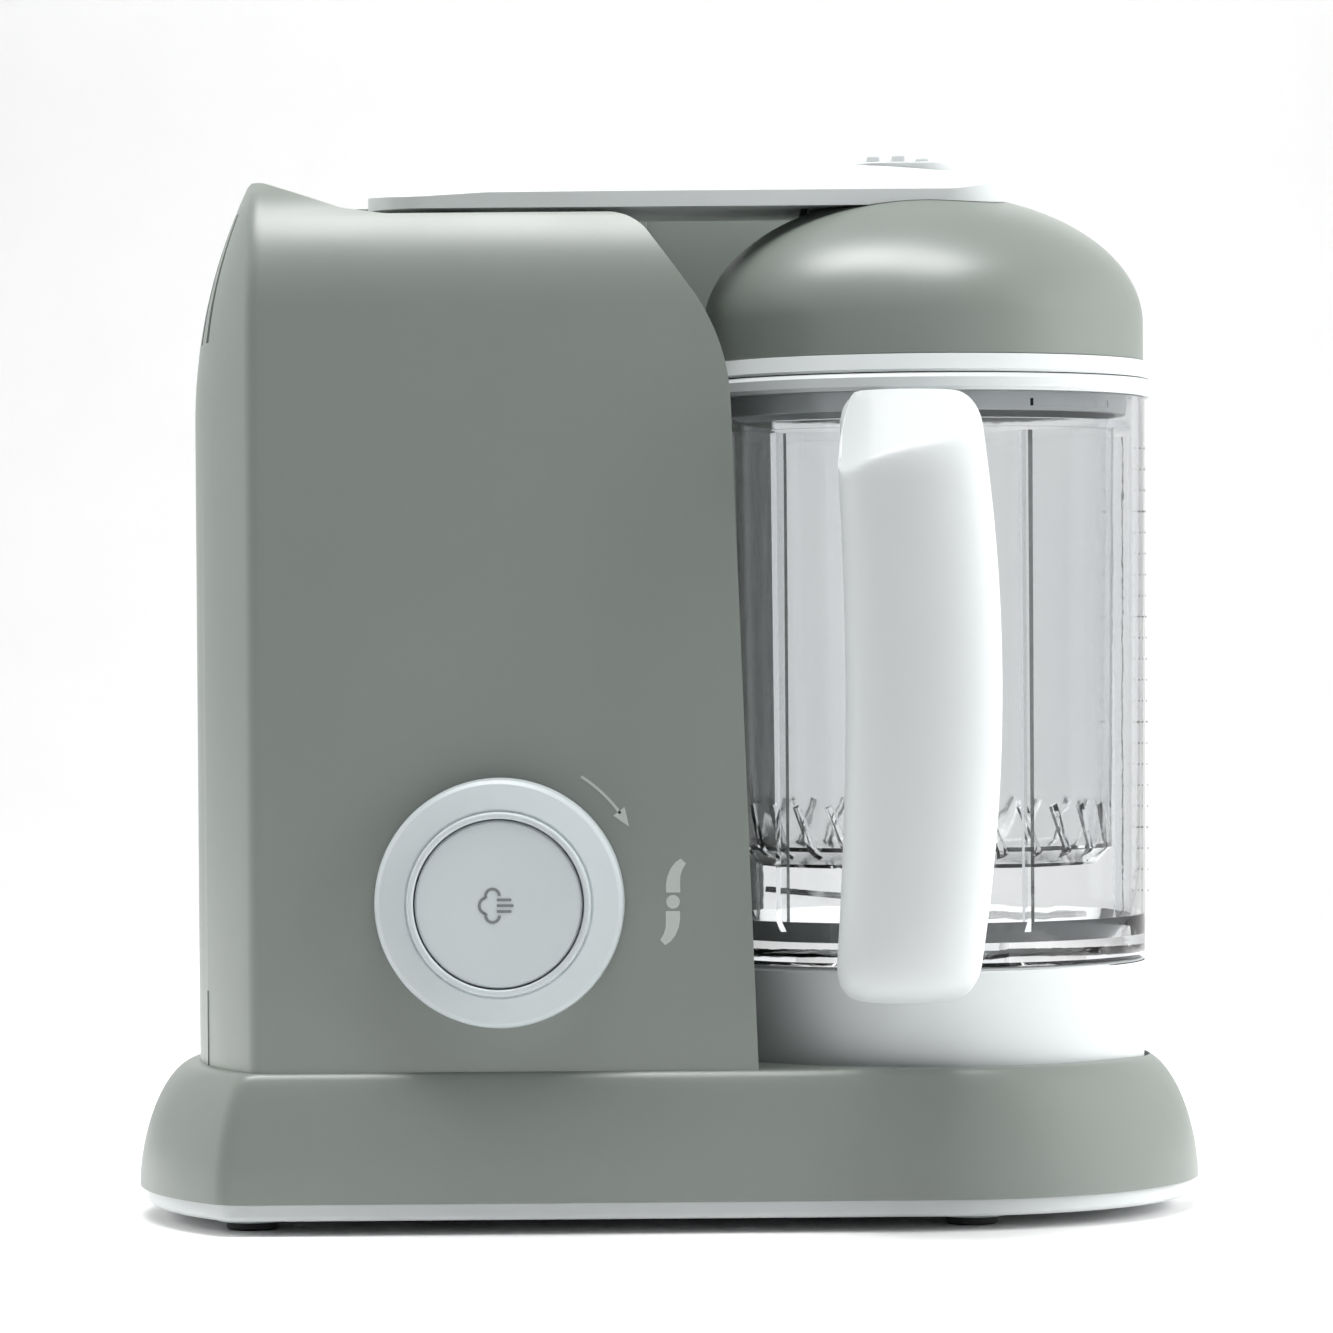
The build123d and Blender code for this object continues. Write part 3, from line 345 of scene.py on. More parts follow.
def moulded_plastic(name, colour, roughness, grain=0.0005, depth=0.02, worn=1.25, spread=0.05, shine=0.5):
    """Plastic straight from the mould: grain, slow colour drift, paler rubbed edges."""
    material, tree, shader = new_material(name)
    shader.inputs["Specular IOR Level"].default_value = shine
    wear = place_group(tree, EDGE_WEAR, Width=0.0009)
    drift = place_group(
        tree, COLOUR_DRIFT, Colour=(*colour, 1), Drift_colour=shade(colour, 1 - spread),
        Edge_colour=shade(colour, worn), Edge_mask=maths(tree, "MULTIPLY", wear.outputs["Mask"], 0.5))
    surface = place_group(tree, MOULD_GRAIN, Grain_size=grain)
    tree.links.new(drift.outputs["Colour"], shader.inputs["Base Color"])
    rough = remap(tree, surface.outputs["Sheen patches"], 0.3, 0.7, roughness - 0.05, roughness + 0.05)
    tree.links.new(maths(tree, "SUBTRACT", rough, maths(tree, "MULTIPLY", wear.outputs["Mask"], 0.08)),
                   shader.inputs["Roughness"])
    add_bump(tree, shader, surface.outputs["Height"], depth * 10, 0.00005)
    return material


def finish_node(node, material):
    """Gives a CAD node its finish."""
    for slot in frame["nodes"][node].material_slots:
        slot.material = material


def finish_nodes(*finishes):
    """Gives several CAD nodes their finishes, from pairs of a material and its nodes."""
    for material, nodes in finishes:
        for node in nodes:
            finish_node(node, material)


SAME_POINT = 2e-6                   # points nearer than this, in metres, are one
FLAT_ENOUGH = radians(0.25)
CREASE_FROM = radians(28)           # a sharper edge than this is rounded
SMOOTH_UP_TO = radians(32)
WIDEST_ROUND = 3.0


def soften(node, name, material, width=0.4, wide=None, segments=3):
    """Copy of a CAD node with merged points and rounded edges, which then stands for it.

    wide may be a rule that gives another width, in mm, for the edge at a point.
    """
    source = frame["nodes"][node]
    mesh = source.data.copy()
    mesh.name = name
    piece = link(bpy.data.objects.new(name, mesh))
    for attribute in ("custom_normal", "sharp_face", "sharp_edge"):
        if attribute in mesh.attributes:
            mesh.attributes.remove(mesh.attributes[attribute])
    work = bmesh.new()
    work.from_mesh(mesh)
    bmesh.ops.remove_doubles(work, verts=work.verts, dist=SAME_POINT)
    bmesh.ops.dissolve_limit(work, angle_limit=FLAT_ENOUGH, verts=work.verts, edges=work.edges)
    weight = work.edges.layers.float.new("bevel_weight_edge")
    for edge in work.edges:
        if len(edge.link_faces) != 2 or edge.calc_face_angle(0) < CREASE_FROM:
            continue
        middle = (edge.verts[0].co + edge.verts[1].co) / 2
        own = wide(middle / MM) if wide else None
        edge[weight] = (width if own is None else own) / WIDEST_ROUND
    work.to_mesh(mesh)
    work.free()
    mesh.materials.clear()
    mesh.materials.append(material)
    bevel = piece.modifiers.new("rounded_edges", "BEVEL")
    bevel.limit_method = "WEIGHT"
    bevel.width = WIDEST_ROUND * MM
    bevel.segments = segments
    bevel.use_clamp_overlap = True
    mesh.shade_smooth()
    mesh.set_sharp_from_angle(angle=SMOOTH_UP_TO)
    bevel.harden_normals = True
    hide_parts(node)
    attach(piece, source["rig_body"])
    return piece


SAGE = moulded_plastic("sage_casing", (0.190, 0.212, 0.193), 0.37, shine=0.85)
soften("base_cover", "base_cover_shell", SAGE, 0.5)


# ---------------------------------------------------------------- base tray, feet and screws
# White moulded tray that closes the base from below, on four rubber feet that are
# pushed through it. Pan head screws hold it up into the base.

WHITE = moulded_plastic("white_casing", (0.60, 0.625, 0.63), 0.42,
                        grain=0.0008, depth=0.006, worn=1.05, spread=0.02)
soften("base_tray", "base_tray_shell", WHITE, 0.4)


def soft_rubber(name, colour, roughness, dust=0.25):
    """Rubber or silicone: matt, with a fine bloom of dust that gathers in patches."""
    material, tree, shader = new_material(name)
    surface = place_group(tree, MOULD_GRAIN, Grain_size=0.0007, Waviness=0.5)
    bloom = remap(tree, surface.outputs["Sheen patches"], 0.4, 0.75, 0.0, dust)
    drift = place_group(tree, COLOUR_DRIFT, Colour=(*colour, 1), Drift_colour=shade(colour, 0.88),
                        Edge_colour=shade([max(c, 0.12) for c in colour], 1.5), Edge_mask=bloom)
    tree.links.new(drift.outputs["Colour"], shader.inputs["Base Color"])
    tree.links.new(remap(tree, surface.outputs["Sheen patches"], 0.3, 0.7, roughness, roughness + 0.12),
                   shader.inputs["Roughness"])
    add_bump(tree, shader, surface.outputs["Height"], 0.3, 0.00008)
    return material


def make_brush_group():
    """Fine lines left by rolling or turning, across one axis."""
    group, given, result = node_group(
        "brush_lines",
        [("Stretch", "NodeSocketVector", (1.0, 1.0, 40.0)), ("Scale", "NodeSocketFloat", 250.0)],
        [("Lines", "NodeSocketFloat")],
    )
    stretch = group.nodes.new("ShaderNodeVectorMath")
    stretch.operation = "MULTIPLY"
    group.links.new(group.nodes.new("ShaderNodeTexCoord").outputs["Object"], stretch.inputs[0])
    group.links.new(given.outputs["Stretch"], stretch.inputs[1])
    noise = group.nodes.new("ShaderNodeTexNoise")
    noise.inputs["Detail"].default_value = 4
    group.links.new(stretch.outputs["Vector"], noise.inputs["Vector"])
    group.links.new(given.outputs["Scale"], noise.inputs["Scale"])
    group.links.new(noise.outputs["Fac"], result.inputs["Lines"])
    return group


BRUSH_LINES = make_brush_group()


def worked_metal(name, colour, roughness, stretch=(1, 1, 30), tarnish=0.8):
    """Metal with its working lines, slightly dulled in patches."""
    material, tree, shader = new_material(name)
    shader.inputs["Metallic"].default_value = 1.0
    lines = place_group(tree, BRUSH_LINES, Stretch=stretch).outputs["Lines"]
    drift = place_group(
        tree, COLOUR_DRIFT, Colour=(*colour, 1), Drift_colour=shade(colour, tarnish),
        Edge_colour=shade(colour, 1.2), Edge_mask=remap(tree, lines, 0.45, 0.65, 0.0, 0.5), Scale=22.0)
    tree.links.new(drift.outputs["Colour"], shader.inputs["Base Color"])
    tree.links.new(remap(tree, lines, 0.3, 0.7, roughness * 0.8, roughness * 1.3), shader.inputs["Roughness"])
    add_bump(tree, shader, lines, 0.15, 0.00003)
    return material


BLACK_RUBBER = soft_rubber("black_rubber", (0.02, 0.02, 0.021), 0.6)
ZINC_STEEL = worked_metal("zinc_plated_steel", (0.55, 0.55, 0.57), 0.3)
finish_node("rubber_feet", BLACK_RUBBER)
finish_node("tray_screws", ZINC_STEEL)


# ---------------------------------------------------------------- column casing
# Tall one-piece shell in the casing's colour: a front panel that rolls back at the top and
# covers the jar's left edge, a bowed end with cooling slots, and a rear wall behind the lid.
# A plate with more slots and the bush for the cord is screwed over the opening in its back.

PANEL_Y = -60.0 + MID_Y / MM        # the flat front of the panel
NICHE_X = -4.0                      # right of this the panel stands free beside the jar
PANEL_FOOT_Z = 40
ROLL_Z = 225                        # above this the panel rolls back
ROOF_Z = 236
PANEL_ROUND = 2.2
ROOF_ROUND = 1.2


def column_edges(p):
    """Softer edges where hands meet the panel: its free edge beside the jar and its top."""
    if p.x > NICHE_X and p.y < PANEL_Y + 0.4 and p.z > PANEL_FOOT_Z:
        return PANEL_ROUND
    if p.z > ROLL_Z and p.y < PANEL_Y + 20:
        return PANEL_ROUND
    if p.z > ROOF_Z:
        return ROOF_ROUND
    return None


soften("column_shell", "column_casing", SAGE, 0.5, column_edges, 4)
finish_node("column_screws", ZINC_STEEL)
soften("rear_cover", "rear_cover_plate", SAGE, 0.4)
finish_node("rear_cover_screws", ZINC_STEEL)
finish_node("cord_gland", BLACK_RUBBER)


# ---------------------------------------------------------------- printed marks on the panel
# Two pad-printed signs beside the dial in pale ink: a curved arrow that says which way
# the ring turns, and a pair of small blades. The ink stands a hair proud of the panel.

dial_low, dial_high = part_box("dial_knob")
DIAL_X = (dial_low.x + dial_high.x) / 2 / MM
DIAL_Z = (dial_low.z + dial_high.z) / 2 / MM
INK = moulded_plastic("pale_ink", (0.45, 0.48, 0.455), 0.5, grain=0.0002, spread=0.04)
INK_THICK = 0.08
INK_SUNK = 0.02


def turn_outwards(piece, merge=0.0, thin=0.0):
    """Merges near points, drops faces thinner than a limit and turns all faces outwards."""
    work = bmesh.new()
    work.from_mesh(piece.data)
    if merge:
        bmesh.ops.remove_doubles(work, verts=work.verts, dist=merge)
    if thin:
        bmesh.ops.dissolve_degenerate(work, dist=thin, edges=work.edges)
    bmesh.ops.recalc_face_normals(work, faces=work.faces)
    work.to_mesh(piece.data)
    work.free()


def printed(name, outlines, body="housing", face_y=PANEL_Y, material=INK):
    """Flat print on a face that looks forwards, from closed outlines in X and Z, in mm."""
    points, faces = [], []
    for outline in outlines:
        first = len(points)
        points += [(x * MM, (face_y - INK_THICK) * MM, z * MM) for x, z in outline]
        points += [(x * MM, (face_y + INK_SUNK) * MM, z * MM) for x, z in outline]
        count = len(outline)
        faces.append([first + i for i in range(count)])
        faces.append([first + count + i for i in reversed(range(count))])
        for i in range(count):
            j = (i + 1) % count
            faces.append((first + i, first + count + i, first + count + j, first + j))
    piece = mesh_piece(name, points, faces)
    turn_outwards(piece)
    piece.data.materials.append(material)
    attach(piece, body)
    return piece


def ribbon(line, width):
    """Closed outline of a stroke of even width along a line of points."""
    left, right = [], []
    for i, (x, z) in enumerate(line):
        ax, az = line[max(i - 1, 0)]
        bx, bz = line[min(i + 1, len(line) - 1)]
        length = sqrt((bx - ax) ** 2 + (bz - az) ** 2)
        nx, nz = -(bz - az) / length * width / 2, (bx - ax) / length * width / 2
        left.append((x + nx, z + nz))
        right.append((x - nx, z - nz))
    return left + right[::-1]


def on_circle(cx, cz, radius, start, end, steps):
    """Points on a circle; angles in degrees, counted from the right."""
    turns = [radians(start + (end - start) * i / steps) for i in range(steps + 1)]
    return [(cx + radius * cos(a), cz + radius * sin(a)) for a in turns]


STROKE = 0.65                       # width of a printed line
ARROW_R = 35.3
ARROW_HALF = 1.7


def add_turn_arrow():
    """Curved arrow round the dial's upper right, from 57 degrees down to its tip at 30."""
    tail, neck, barb_at, tip_at = 56.7, 36, 37, 30
    shaft = ribbon(on_circle(DIAL_X, DIAL_Z, ARROW_R, tail, neck, 16), STROKE)
    tip = on_circle(DIAL_X, DIAL_Z, ARROW_R, tip_at, tip_at, 1)[0]
    inner = on_circle(DIAL_X, DIAL_Z, ARROW_R - ARROW_HALF, barb_at, barb_at, 1)[0]
    outer = on_circle(DIAL_X, DIAL_Z, ARROW_R + ARROW_HALF, barb_at, barb_at, 1)[0]
    printed("turn_arrow", [shaft, [inner, tip, outer]])


def add_blade_sign():
    """Hub with two curved wings, one above it and one turned over below."""
    hub_r = 1.6
    right_of_dial = 40.8
    x, z = DIAL_X + right_of_dial, DIAL_Z - 0.2
    wing = [(-1.6, 2.2), (-1.65, 4.0), (-1.3, 6.0), (-0.5, 7.9), (0.6, 9.3), (1.9, 10.2),
            (3.1, 9.0), (2.3, 7.7), (1.8, 6.2), (1.7, 4.4), (1.75, 2.2)]
    wings = [[(x + turn * a, z + turn * b) for a, b in wing] for turn in (1, -1)]
    printed("blade_sign", [on_circle(x, z, hub_r, 0, 350, 35), *wings])


add_turn_arrow()
add_blade_sign()


# ---------------------------------------------------------------- dial and button
# Cool white ring that turns for the blades, held behind the panel by a snap ring, with the
# steam button in its middle inside a thin lip. Both are moulded and have a satin face.

DIAL_WHITE = moulded_plastic("dial_white", (0.54, 0.59, 0.605), 0.36,
                             grain=0.0004, depth=0.012, worn=1.15, spread=0.03)
STEPS_ROUND = 168
RIM_ROUND = 0.2


def turned_piece(name, node, body, outline):
    """Closed outline of (radius, Y) in mm, turned about the dial's axis."""
    count = len(outline)
    points = []
    for step in range(STEPS_ROUND):
        turn = 2 * pi * step / STEPS_ROUND
        for radius, y in outline:
            x, z = DIAL_X + radius * cos(turn), DIAL_Z + radius * sin(turn)
            points.append((x * MM, y * MM, z * MM))
    faces = []
    for step in range(STEPS_ROUND):
        near = step * count
        far = (step + 1) % STEPS_ROUND * count
        for i in range(count):
            j = (i + 1) % count
            faces.append((near + i, far + i, far + j, near + j))
    piece = mesh_piece(name, points, faces)
    turn_outwards(piece, merge=1e-6, thin=1e-7)
    piece.data.materials.append(DIAL_WHITE)
    piece.data.shade_smooth()
    piece.data.set_sharp_from_angle(angle=radians(30))
    bevel = piece.modifiers.new("rounded_edges", "BEVEL")
    bevel.limit_method = "ANGLE"
    bevel.angle_limit = radians(24)
    bevel.width = RIM_ROUND * MM
    bevel.segments = 3
    bevel.harden_normals = True
    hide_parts(node)
    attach(piece, body)


FACE_Y = PANEL_Y - 12.6             # front of the dial's lip
DIAL_R = 29.4
LIP_R = 21.2
BUTTON_R = 19.7
BUTTON_WELL_R = BUTTON_R + 0.3
HUB_R = 8.0
CLIP_GROOVE_R = HUB_R - 0.8
STEM_HOLE_R = 4.9
STEM_R = 4.6

turned_piece("dial_ring", "dial_knob", "dial", [
    (STEM_HOLE_R, PANEL_Y + 10), (HUB_R, PANEL_Y + 10),
    (HUB_R, PANEL_Y + 8.7), (CLIP_GROOVE_R, PANEL_Y + 8.7),
    (CLIP_GROOVE_R, PANEL_Y + 6.9), (HUB_R, PANEL_Y + 6.9),
    (HUB_R, PANEL_Y - 0.4), (DIAL_R, PANEL_Y - 0.4),
    (DIAL_R, FACE_Y + 7.4), (DIAL_R - 0.35, FACE_Y + 4.2), (DIAL_R - 1.3, FACE_Y + 3.3),
    (LIP_R + 1.0, FACE_Y + 1.5), (LIP_R + 0.45, FACE_Y + 1.9), (LIP_R + 0.3, FACE_Y + 0.4),
    (LIP_R, FACE_Y), (LIP_R - 0.8, FACE_Y), (BUTTON_WELL_R, FACE_Y + 0.4),
    (BUTTON_WELL_R, FACE_Y + 7), (STEM_HOLE_R, FACE_Y + 7),
])
turned_piece("steam_button_cap", "steam_button", "button", [
    (0, FACE_Y + 1.0), (9, FACE_Y + 0.9), (BUTTON_R - 2.5, FACE_Y + 0.6),
    (BUTTON_R - 0.5, FACE_Y + 0.75), (BUTTON_R, FACE_Y + 1.4), (BUTTON_R, FACE_Y + 4.2),
    (STEM_R, FACE_Y + 4.2), (STEM_R, PANEL_Y + 13), (0, PANEL_Y + 13),
])
SIGN_GREY = moulded_plastic("sign_grey", (0.17, 0.19, 0.19), 0.5, grain=0.0002, spread=0.05)


def add_steam_sign():
    """Puff of steam with three lines beside it, printed on the button."""
    line_gap = 1.35
    print_y = FACE_Y + 0.93
    x, z = DIAL_X - 1.4, DIAL_Z - 0.3
    puffs = [(0.0, 2.3, 1.6, 0, 200), (-1.2, 0.0, 1.9, 105, 255), (0.0, -2.3, 1.6, 160, 360)]
    strokes = [ribbon(on_circle(x + px, z + pz, r, a, b, 20), 0.7) for px, pz, r, a, b in puffs]
    for i, length in enumerate((3.4, 3.9, 3.4)):
        height = z + line_gap * (1 - i)
        strokes.append(ribbon([(x + 1.0, height), (x + 1.0 + length, height)], STROKE))
    printed("steam_sign", strokes, "button", print_y, SIGN_GREY)


add_steam_sign()
SPRING_STEEL = worked_metal("spring_steel", (0.45, 0.45, 0.46), 0.28)
finish_nodes((SPRING_STEEL, ("dial_clip", "dial_spring", "button_spring")))


# ---------------------------------------------------------------- motor and belt drive
# Motor with two magnet shells round a wound core. It stands in the column on a sheet
# bridge, with a fan above it and a belt below that drives the jar's coupling at half speed.

MOTOR_STEEL = worked_metal("motor_steel", (0.42, 0.42, 0.43), 0.35, (30, 30, 1))
STAINLESS = worked_metal("stainless_steel", (0.60, 0.60, 0.60), 0.24, (1, 1, 30))
BRONZE = worked_metal("sintered_bronze", (0.50, 0.34, 0.16), 0.42, (8, 8, 8), 0.7)
NYLON = moulded_plastic("black_nylon", (0.028, 0.028, 0.03), 0.45, worn=2.0, spread=0.2)
FERRITE = soft_rubber("ferrite", (0.05, 0.05, 0.052), 0.7)
WINDINGS = worked_metal("wound_core", (0.45, 0.20, 0.10), 0.4, (1, 1, 60), 0.5)
finish_nodes(
    (MOTOR_STEEL, ("motor_can", "motor_shaft", "coupling_shaft")),
    (STAINLESS, ("motor_bracket",)),
    (FERRITE, ("motor_magnets",)),
    (WINDINGS, ("motor_armature",)),
    (NYLON, ("cooling_fan", "drive_pulley", "driven_pulley", "drive_dog")),
    (BLACK_RUBBER, ("drive_belt",)),
    (BRONZE, ("coupling_bush",)),
)


# ---------------------------------------------------------------- boiler and controls
# Drawn stainless tank in a sheet ring, with a heater plate, a thermostat and a fuse under
# it. The board stands on pegs off the end wall, and the switches are behind the dial.

ALUMINIUM = worked_metal("pressed_aluminium", (0.66, 0.66, 0.68), 0.36, (12, 1, 1))
SILICONE = soft_rubber("grey_silicone", (0.42, 0.44, 0.44), 0.45, 0.1)


def make_board_finish():
    """Green lacquered board with rows of small tinned pads."""
    material, tree, shader = new_material("circuit_board")
    pads = tree.nodes.new("ShaderNodeTexVoronoi")
    pads.inputs["Scale"].default_value = 300
    pads.inputs["Randomness"].default_value = 0.25
    tree.links.new(tree.nodes.new("ShaderNodeTexCoord").outputs["Object"], pads.inputs["Vector"])
    mask = remap(tree, pads.outputs["Distance"], 0.16, 0.2, 1.0, 0.0)
    drift = place_group(tree, COLOUR_DRIFT, Colour=(0.03, 0.13, 0.06, 1), Drift_colour=(0.02, 0.09, 0.045, 1),
                        Edge_colour=(0.6, 0.6, 0.58, 1), Edge_mask=mask, Scale=60.0)
    tree.links.new(drift.outputs["Colour"], shader.inputs["Base Color"])
    tree.links.new(remap(tree, mask, 0.0, 1.0, 0.35, 0.25), shader.inputs["Roughness"])
    return material


finish_nodes(
    (STAINLESS, ("boiler_tank", "boiler_bracket")),
    (ALUMINIUM, ("boiler_heater", "boiler_thermostat")),
    (SILICONE, ("mouth_seal",)),
    (NYLON, ("thermal_fuse", "board_posts", "switch_plate", "steam_switch", "blade_switch")),
    (make_board_finish(), ("control_board",)),
)


# ---------------------------------------------------------------- jar foot and blades
# White foot ring under the jar with a tower that carries the blade shaft in a bronze
# bush; two bent steel wings are held by a nut, and a socket drops over the coupling.

soften("jar_collar", "jar_foot_ring", WHITE, 0.5)
finish_nodes(
    (SILICONE, ("collar_seal",)),
    (BRONZE, ("blade_bush",)),
    (STAINLESS, ("blade_shaft", "chopping_blades", "blade_nut")),
    (NYLON, ("blade_socket",)),
)


# ---------------------------------------------------------------- clear jar and basket
# Moulded from a clear plastic that looks a little grey where it is thick. The jar has upright
# ribs inside and a printed scale; the basket has slanted steam slots round its foot.

def clear_plastic(name, colour, deeper, roughness):
    """Clear plastic with faint flow marks, a slight tint and hairline scuffs."""
    material, tree, shader = new_material(name)
    shader.inputs["Transmission Weight"].default_value = 1.0
    shader.inputs["IOR"].default_value = 1.5
    drift = place_group(tree, COLOUR_DRIFT, Colour=(*colour, 1), Drift_colour=(*deeper, 1),
                        Edge_colour=(*deeper, 1), Scale=16.0)
    tree.links.new(drift.outputs["Colour"], shader.inputs["Base Color"])
    surface = place_group(tree, MOULD_GRAIN, Grain_size=0.004, Waviness=0.6)
    scuffs = place_group(tree, BRUSH_LINES, Stretch=(6, 6, 1), Scale=60.0).outputs["Lines"]
    tree.links.new(remap(tree, scuffs, 0.55, 0.75, roughness, roughness + 0.06), shader.inputs["Roughness"])
    add_bump(tree, shader, surface.outputs["Height"], 0.04, 0.0003)
    return material


finish_node("jar_bowl", clear_plastic("clear_jar", (0.905, 0.912, 0.915), (0.88, 0.89, 0.90), 0.015))
finish_node("steam_basket", clear_plastic("clear_basket", (0.93, 0.935, 0.935), (0.91, 0.915, 0.92), 0.05))

jar_low, jar_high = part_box("jar_bowl")
JAR_X = (jar_low.x + jar_high.x) / 2 / MM
MID = MID_Y / MM


def wrapped(outlines, radius):
    """Flat outlines laid round the jar: across is distance along the wall, in mm."""
    points, faces = [], []
    for outline in outlines:
        first = len(points)
        for along, z in outline:
            turn = along / radius
            points.append(((JAR_X + radius * cos(turn)) * MM, (MID + radius * sin(turn)) * MM, z * MM))
        faces.append([first + i for i in range(len(outline))])
    return points, faces


def add_scale():
    """Printed scale on the wall furthest from the column, with a long mark in every five."""
    wall = 54.35
    start_z = 77.5
    step = 5.15
    along = -9
    thin = 0.22
    long_half = 2.4
    short_half = 1.1
    strokes = []
    for i in range(22):
        z = start_z + i * step
        half = long_half if i % 5 == 3 else short_half
        left, right = along - half, along + half
        strokes.append([(left, z - thin), (right, z - thin), (right, z + thin), (left, z + thin)])
    points, faces = wrapped(strokes, wall)
    marks = mesh_piece("jar_scale", points, faces)
    solid = marks.modifiers.new("ink_thickness", "SOLIDIFY")
    solid.thickness = 0.06 * MM
    solid.offset = 1
    marks.data.materials.append(SIGN_GREY)
    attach(marks, "jar")


add_scale()


# ---------------------------------------------------------------- jar handle
# Two white moulded shells that meet along a seam: a smooth face with a slanted thumb rest
# at the top, and a back for the fingers that reaches the jar's wall at the top and bottom.

HANDLE_TURN = radians(-4.5)
HANDLE_HALF = 17.0                  # half the width, and what it gains at its widest
HANDLE_SWELL = 1.1
WIDEST_Z = 130
WIDTH_SPAN = 60
FRONT_REACH = 98.3                  # the face, from the jar's axis
FACE_BOW = 1.2                      # it stands out by this much more in the middle
BOW_Z = 125
BOW_SPAN = 72
ROLL_BACK_Z = 176                   # above this the face rolls back towards the rim
ROLL_BACK = 24
TOE_Z = 80                          # below this it slopes back towards the foot ring
TOE_SLOPE = 7
TOE_ROUND = 9
END_HEIGHT = 9                      # the rounded ends, and how far they are drawn in
END_TRIM = 6.5
JAR_WALL_R = 55.2
GRIP_OUT = 86.0
GRIP_FROM = (76, 84)                # the finger gap opens and closes between these heights
GRIP_TO = (172, 180)
SEAM_BACK = 11.0                    # the seam lies this far behind the face
SEAM_GAP = 0.3
LEAN = 2.5                          # how far the middle stands to the right
LEAN_CURVE = 0.0009
handle_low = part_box("handle_back")[0].z / MM
handle_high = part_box("handle_back")[1].z / MM


def rise(value, start, end):
    """0 before start, 1 after end, smooth between."""
    t = min(1.0, max(0.0, (value - start) / (end - start)))
    return t * t * (3 - 2 * t)


def quarter(share):
    """Height of a quarter circle that falls from 1 to 0."""
    return sqrt(max(0.0, 1 - share))


def handle_front_at(z):
    """How far out the handle's face stands at a height."""
    top = max(0.0, (z - ROLL_BACK_Z) / (handle_high - ROLL_BACK_Z))
    low = max(0.0, (TOE_Z - z) / (TOE_Z - handle_low))
    bow = FACE_BOW * (1 - ((z - BOW_Z) / BOW_SPAN) ** 2)
    rolled = ROLL_BACK * (1 - quarter(top ** 2.2))
    return FRONT_REACH + bow - rolled - TOE_SLOPE * low ** 2.4 - TOE_ROUND * low ** 14


def handle_back_at(z):
    """Where the handle's inner side lies: the grip, or the jar's wall above and below it."""
    open_share = rise(z, *GRIP_FROM) * (1 - rise(z, *GRIP_TO))
    return JAR_WALL_R + (GRIP_OUT - JAR_WALL_R) * open_share


def handle_half_at(z):
    """Half the width: full along the grip, drawn in round the top and the toe."""
    top = max(0.0, (z - (handle_high - END_HEIGHT)) / END_HEIGHT)
    low = max(0.0, (handle_low + END_HEIGHT - z) / END_HEIGHT)
    trim = END_TRIM * (1 - quarter(top ** 2)) + END_TRIM * (1 - quarter(low ** 2))
    return HANDLE_HALF + HANDLE_SWELL * (1 - ((z - WIDEST_Z) / WIDTH_SPAN) ** 2) - trim


def handle_middle_at(z):
    """The handle bends a little away from the column halfway down."""
    return LEAN - LEAN_CURVE * (z - WIDEST_Z) ** 2


def handle_point(side, out, z):
    """Point of the handle: side is across it, out is the distance from the jar's axis."""
    x, y = side, -out
    return (
        (JAR_X + x * cos(HANDLE_TURN) - y * sin(HANDLE_TURN)) * MM,
        (MID + x * sin(HANDLE_TURN) + y * cos(HANDLE_TURN)) * MM,
        z * MM,
    )


THUMB_REST = Vector((-0.14, -0.62, 0.78)).normalized()
THUMB_DEPTH = 203.2
THUMB_CROWN = 0.026
THUMB_DISH = 1.0
THUMB_DISH_HALF = 10


def thumb_cut(side, out, z):
    """Pushes a point back to the slanted thumb rest, crowned across with a dished middle."""
    point = Vector((side, -out, z))
    crown = THUMB_CROWN * side ** 2
    dish = THUMB_DISH * max(0.0, 1 - (side / THUMB_DISH_HALF) ** 2)
    over = point.dot(THUMB_REST) - (THUMB_DEPTH - crown - dish)
    if over > 0:
        point -= THUMB_REST * over
    return point.x, -point.y, point.z


def handle_levels():
    """Heights of the level slices, closer together at both ends."""
    span = handle_high - handle_low
    ends = [0, 0.15, 0.5, 1.0, 1.7, 2.6, 3.8, 5.2, 7, END_HEIGHT]
    middle = [END_HEIGHT + (span - 2 * END_HEIGHT) * i / 90 for i in range(1, 90)]
    return [handle_low + v for v in ends + middle] + [handle_high - v for v in reversed(ends)]


FACE_CORNER = 0.95                  # 1 is round, and less is squarer
BACK_CORNER = 0.35
SLICE_STEPS = 40


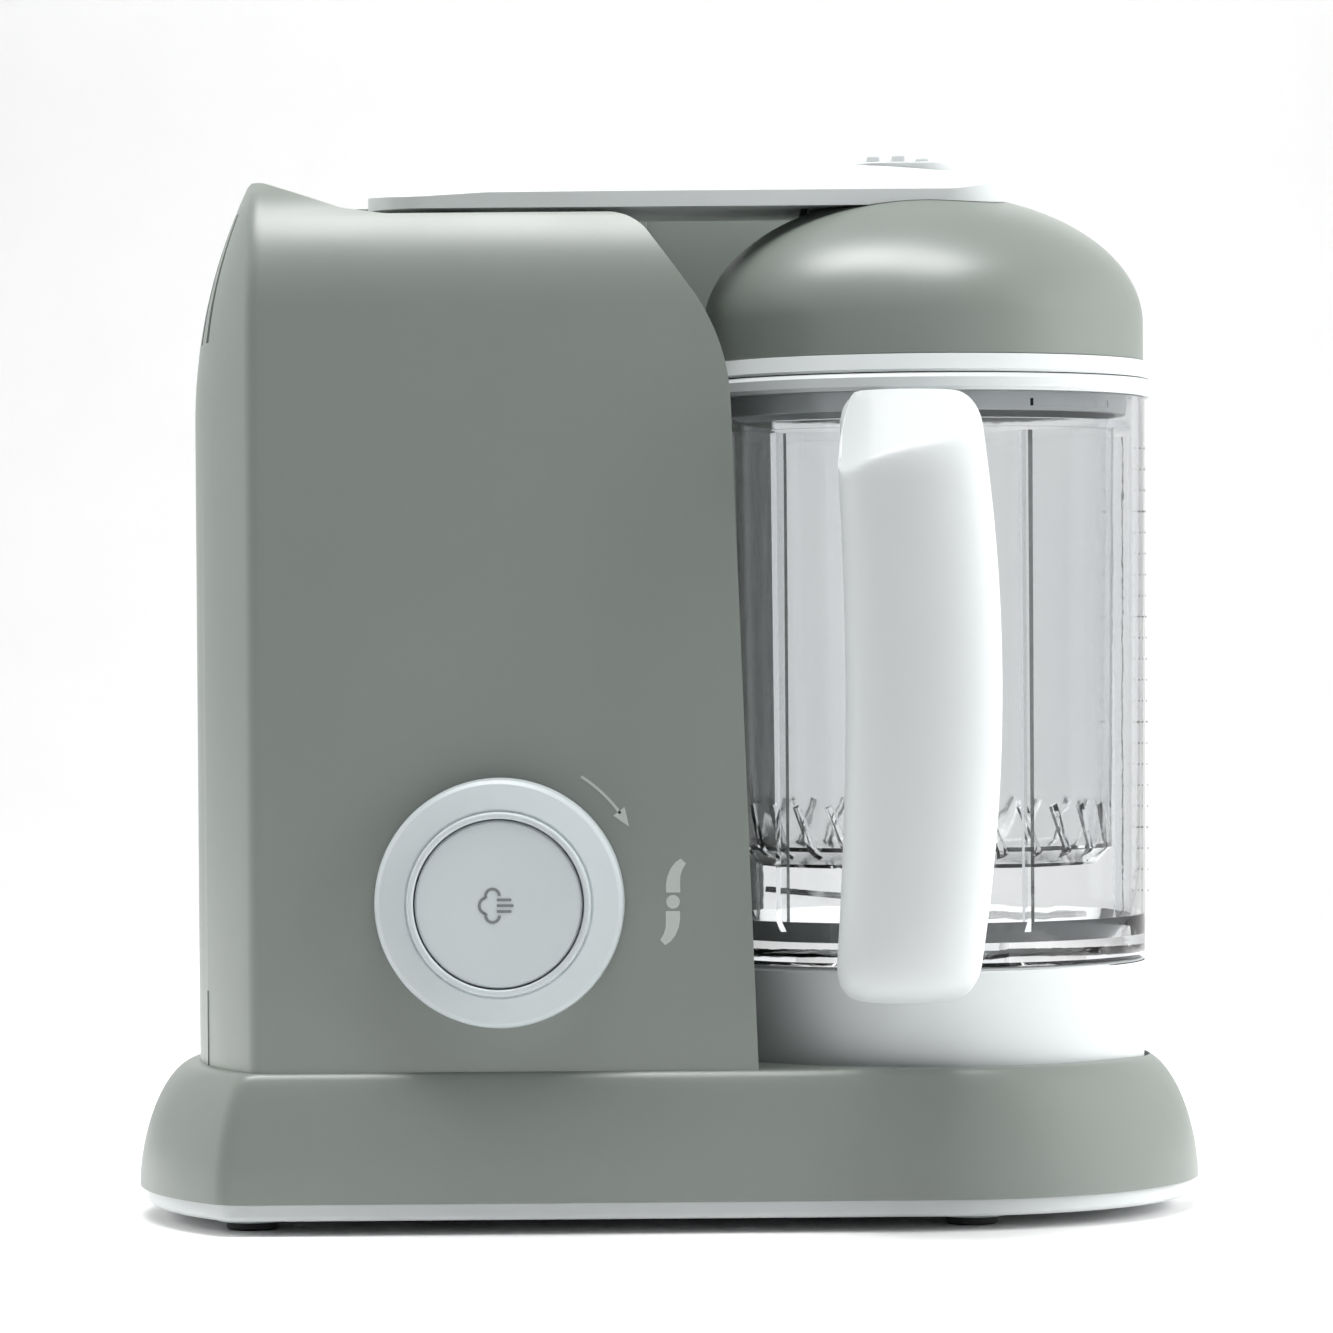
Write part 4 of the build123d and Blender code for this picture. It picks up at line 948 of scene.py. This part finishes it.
def handle_slice(z, outer, inset):
    """One level slice of a shell, from one end of the seam to the other."""
    front, back, half = handle_front_at(z), handle_back_at(z), handle_half_at(z) - inset
    seam = max(back + 1.0, front - SEAM_BACK)
    ring = []
    for i in range(SLICE_STEPS + 1):
        a = pi * i / SLICE_STEPS
        side = half * abs(cos(a)) ** FACE_CORNER * (1 if cos(a) >= 0 else -1)
        if outer:
            out = seam + (front - seam) * sin(a) ** FACE_CORNER
        else:
            out = seam - SEAM_GAP - (seam - SEAM_GAP - back) * sin(a) ** BACK_CORNER
        ring.append(handle_point(*thumb_cut(side + handle_middle_at(z), out, z)))
    return ring


def add_handle_shell(name, node, outer, inset):
    """One shell of the handle, lofted through level slices; outer is the front one."""
    rings = [handle_slice(z, outer, inset) for z in handle_levels()]
    count = SLICE_STEPS + 1
    last = (len(rings) - 1) * count
    faces = []
    for start in range(0, last, count):
        for i in range(count):
            j = (i + 1) % count
            faces.append((start + i, start + j, start + count + j, start + count + i))
    faces.append(list(range(count)))
    faces.append([last + i for i in range(count)])
    piece = mesh_piece(name, [point for ring in rings for point in ring], faces)
    turn_outwards(piece, merge=1e-6)
    piece.data.shade_smooth()
    piece.data.set_sharp_from_angle(angle=radians(34))
    piece.data.materials.append(WHITE)
    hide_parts(node)
    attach(piece, "jar")


add_handle_shell("handle_face", "handle_front", True, 0.0)
add_handle_shell("handle_body", "handle_back", False, 0.35)


# ---------------------------------------------------------------- lid
# White silicone ring that stays on the jar's rim, a hard white one above it that turns with
# the lid, and the dome in the casing's colour, moulded with the same fine grain.

finish_node("lid_seal", WHITE)
finish_node("lid_ring", WHITE)
soften("lid_dome", "lid_dome_shell", SAGE, 0.3)


# ---------------------------------------------------------------- lid arm
# Long white cover, fixed over the dome, that carries the steam from the boiler's mouth
# into the jar. A slide with three grip ribs sits in its finger dish.

soften("lid_arm", "lid_arm_cover", WHITE, 0.6)
soften("latch_slider", "latch_thumb_slide", WHITE, 0.3)
finish_node("arm_plate", WHITE)
finish_node("arm_gasket", SILICONE)
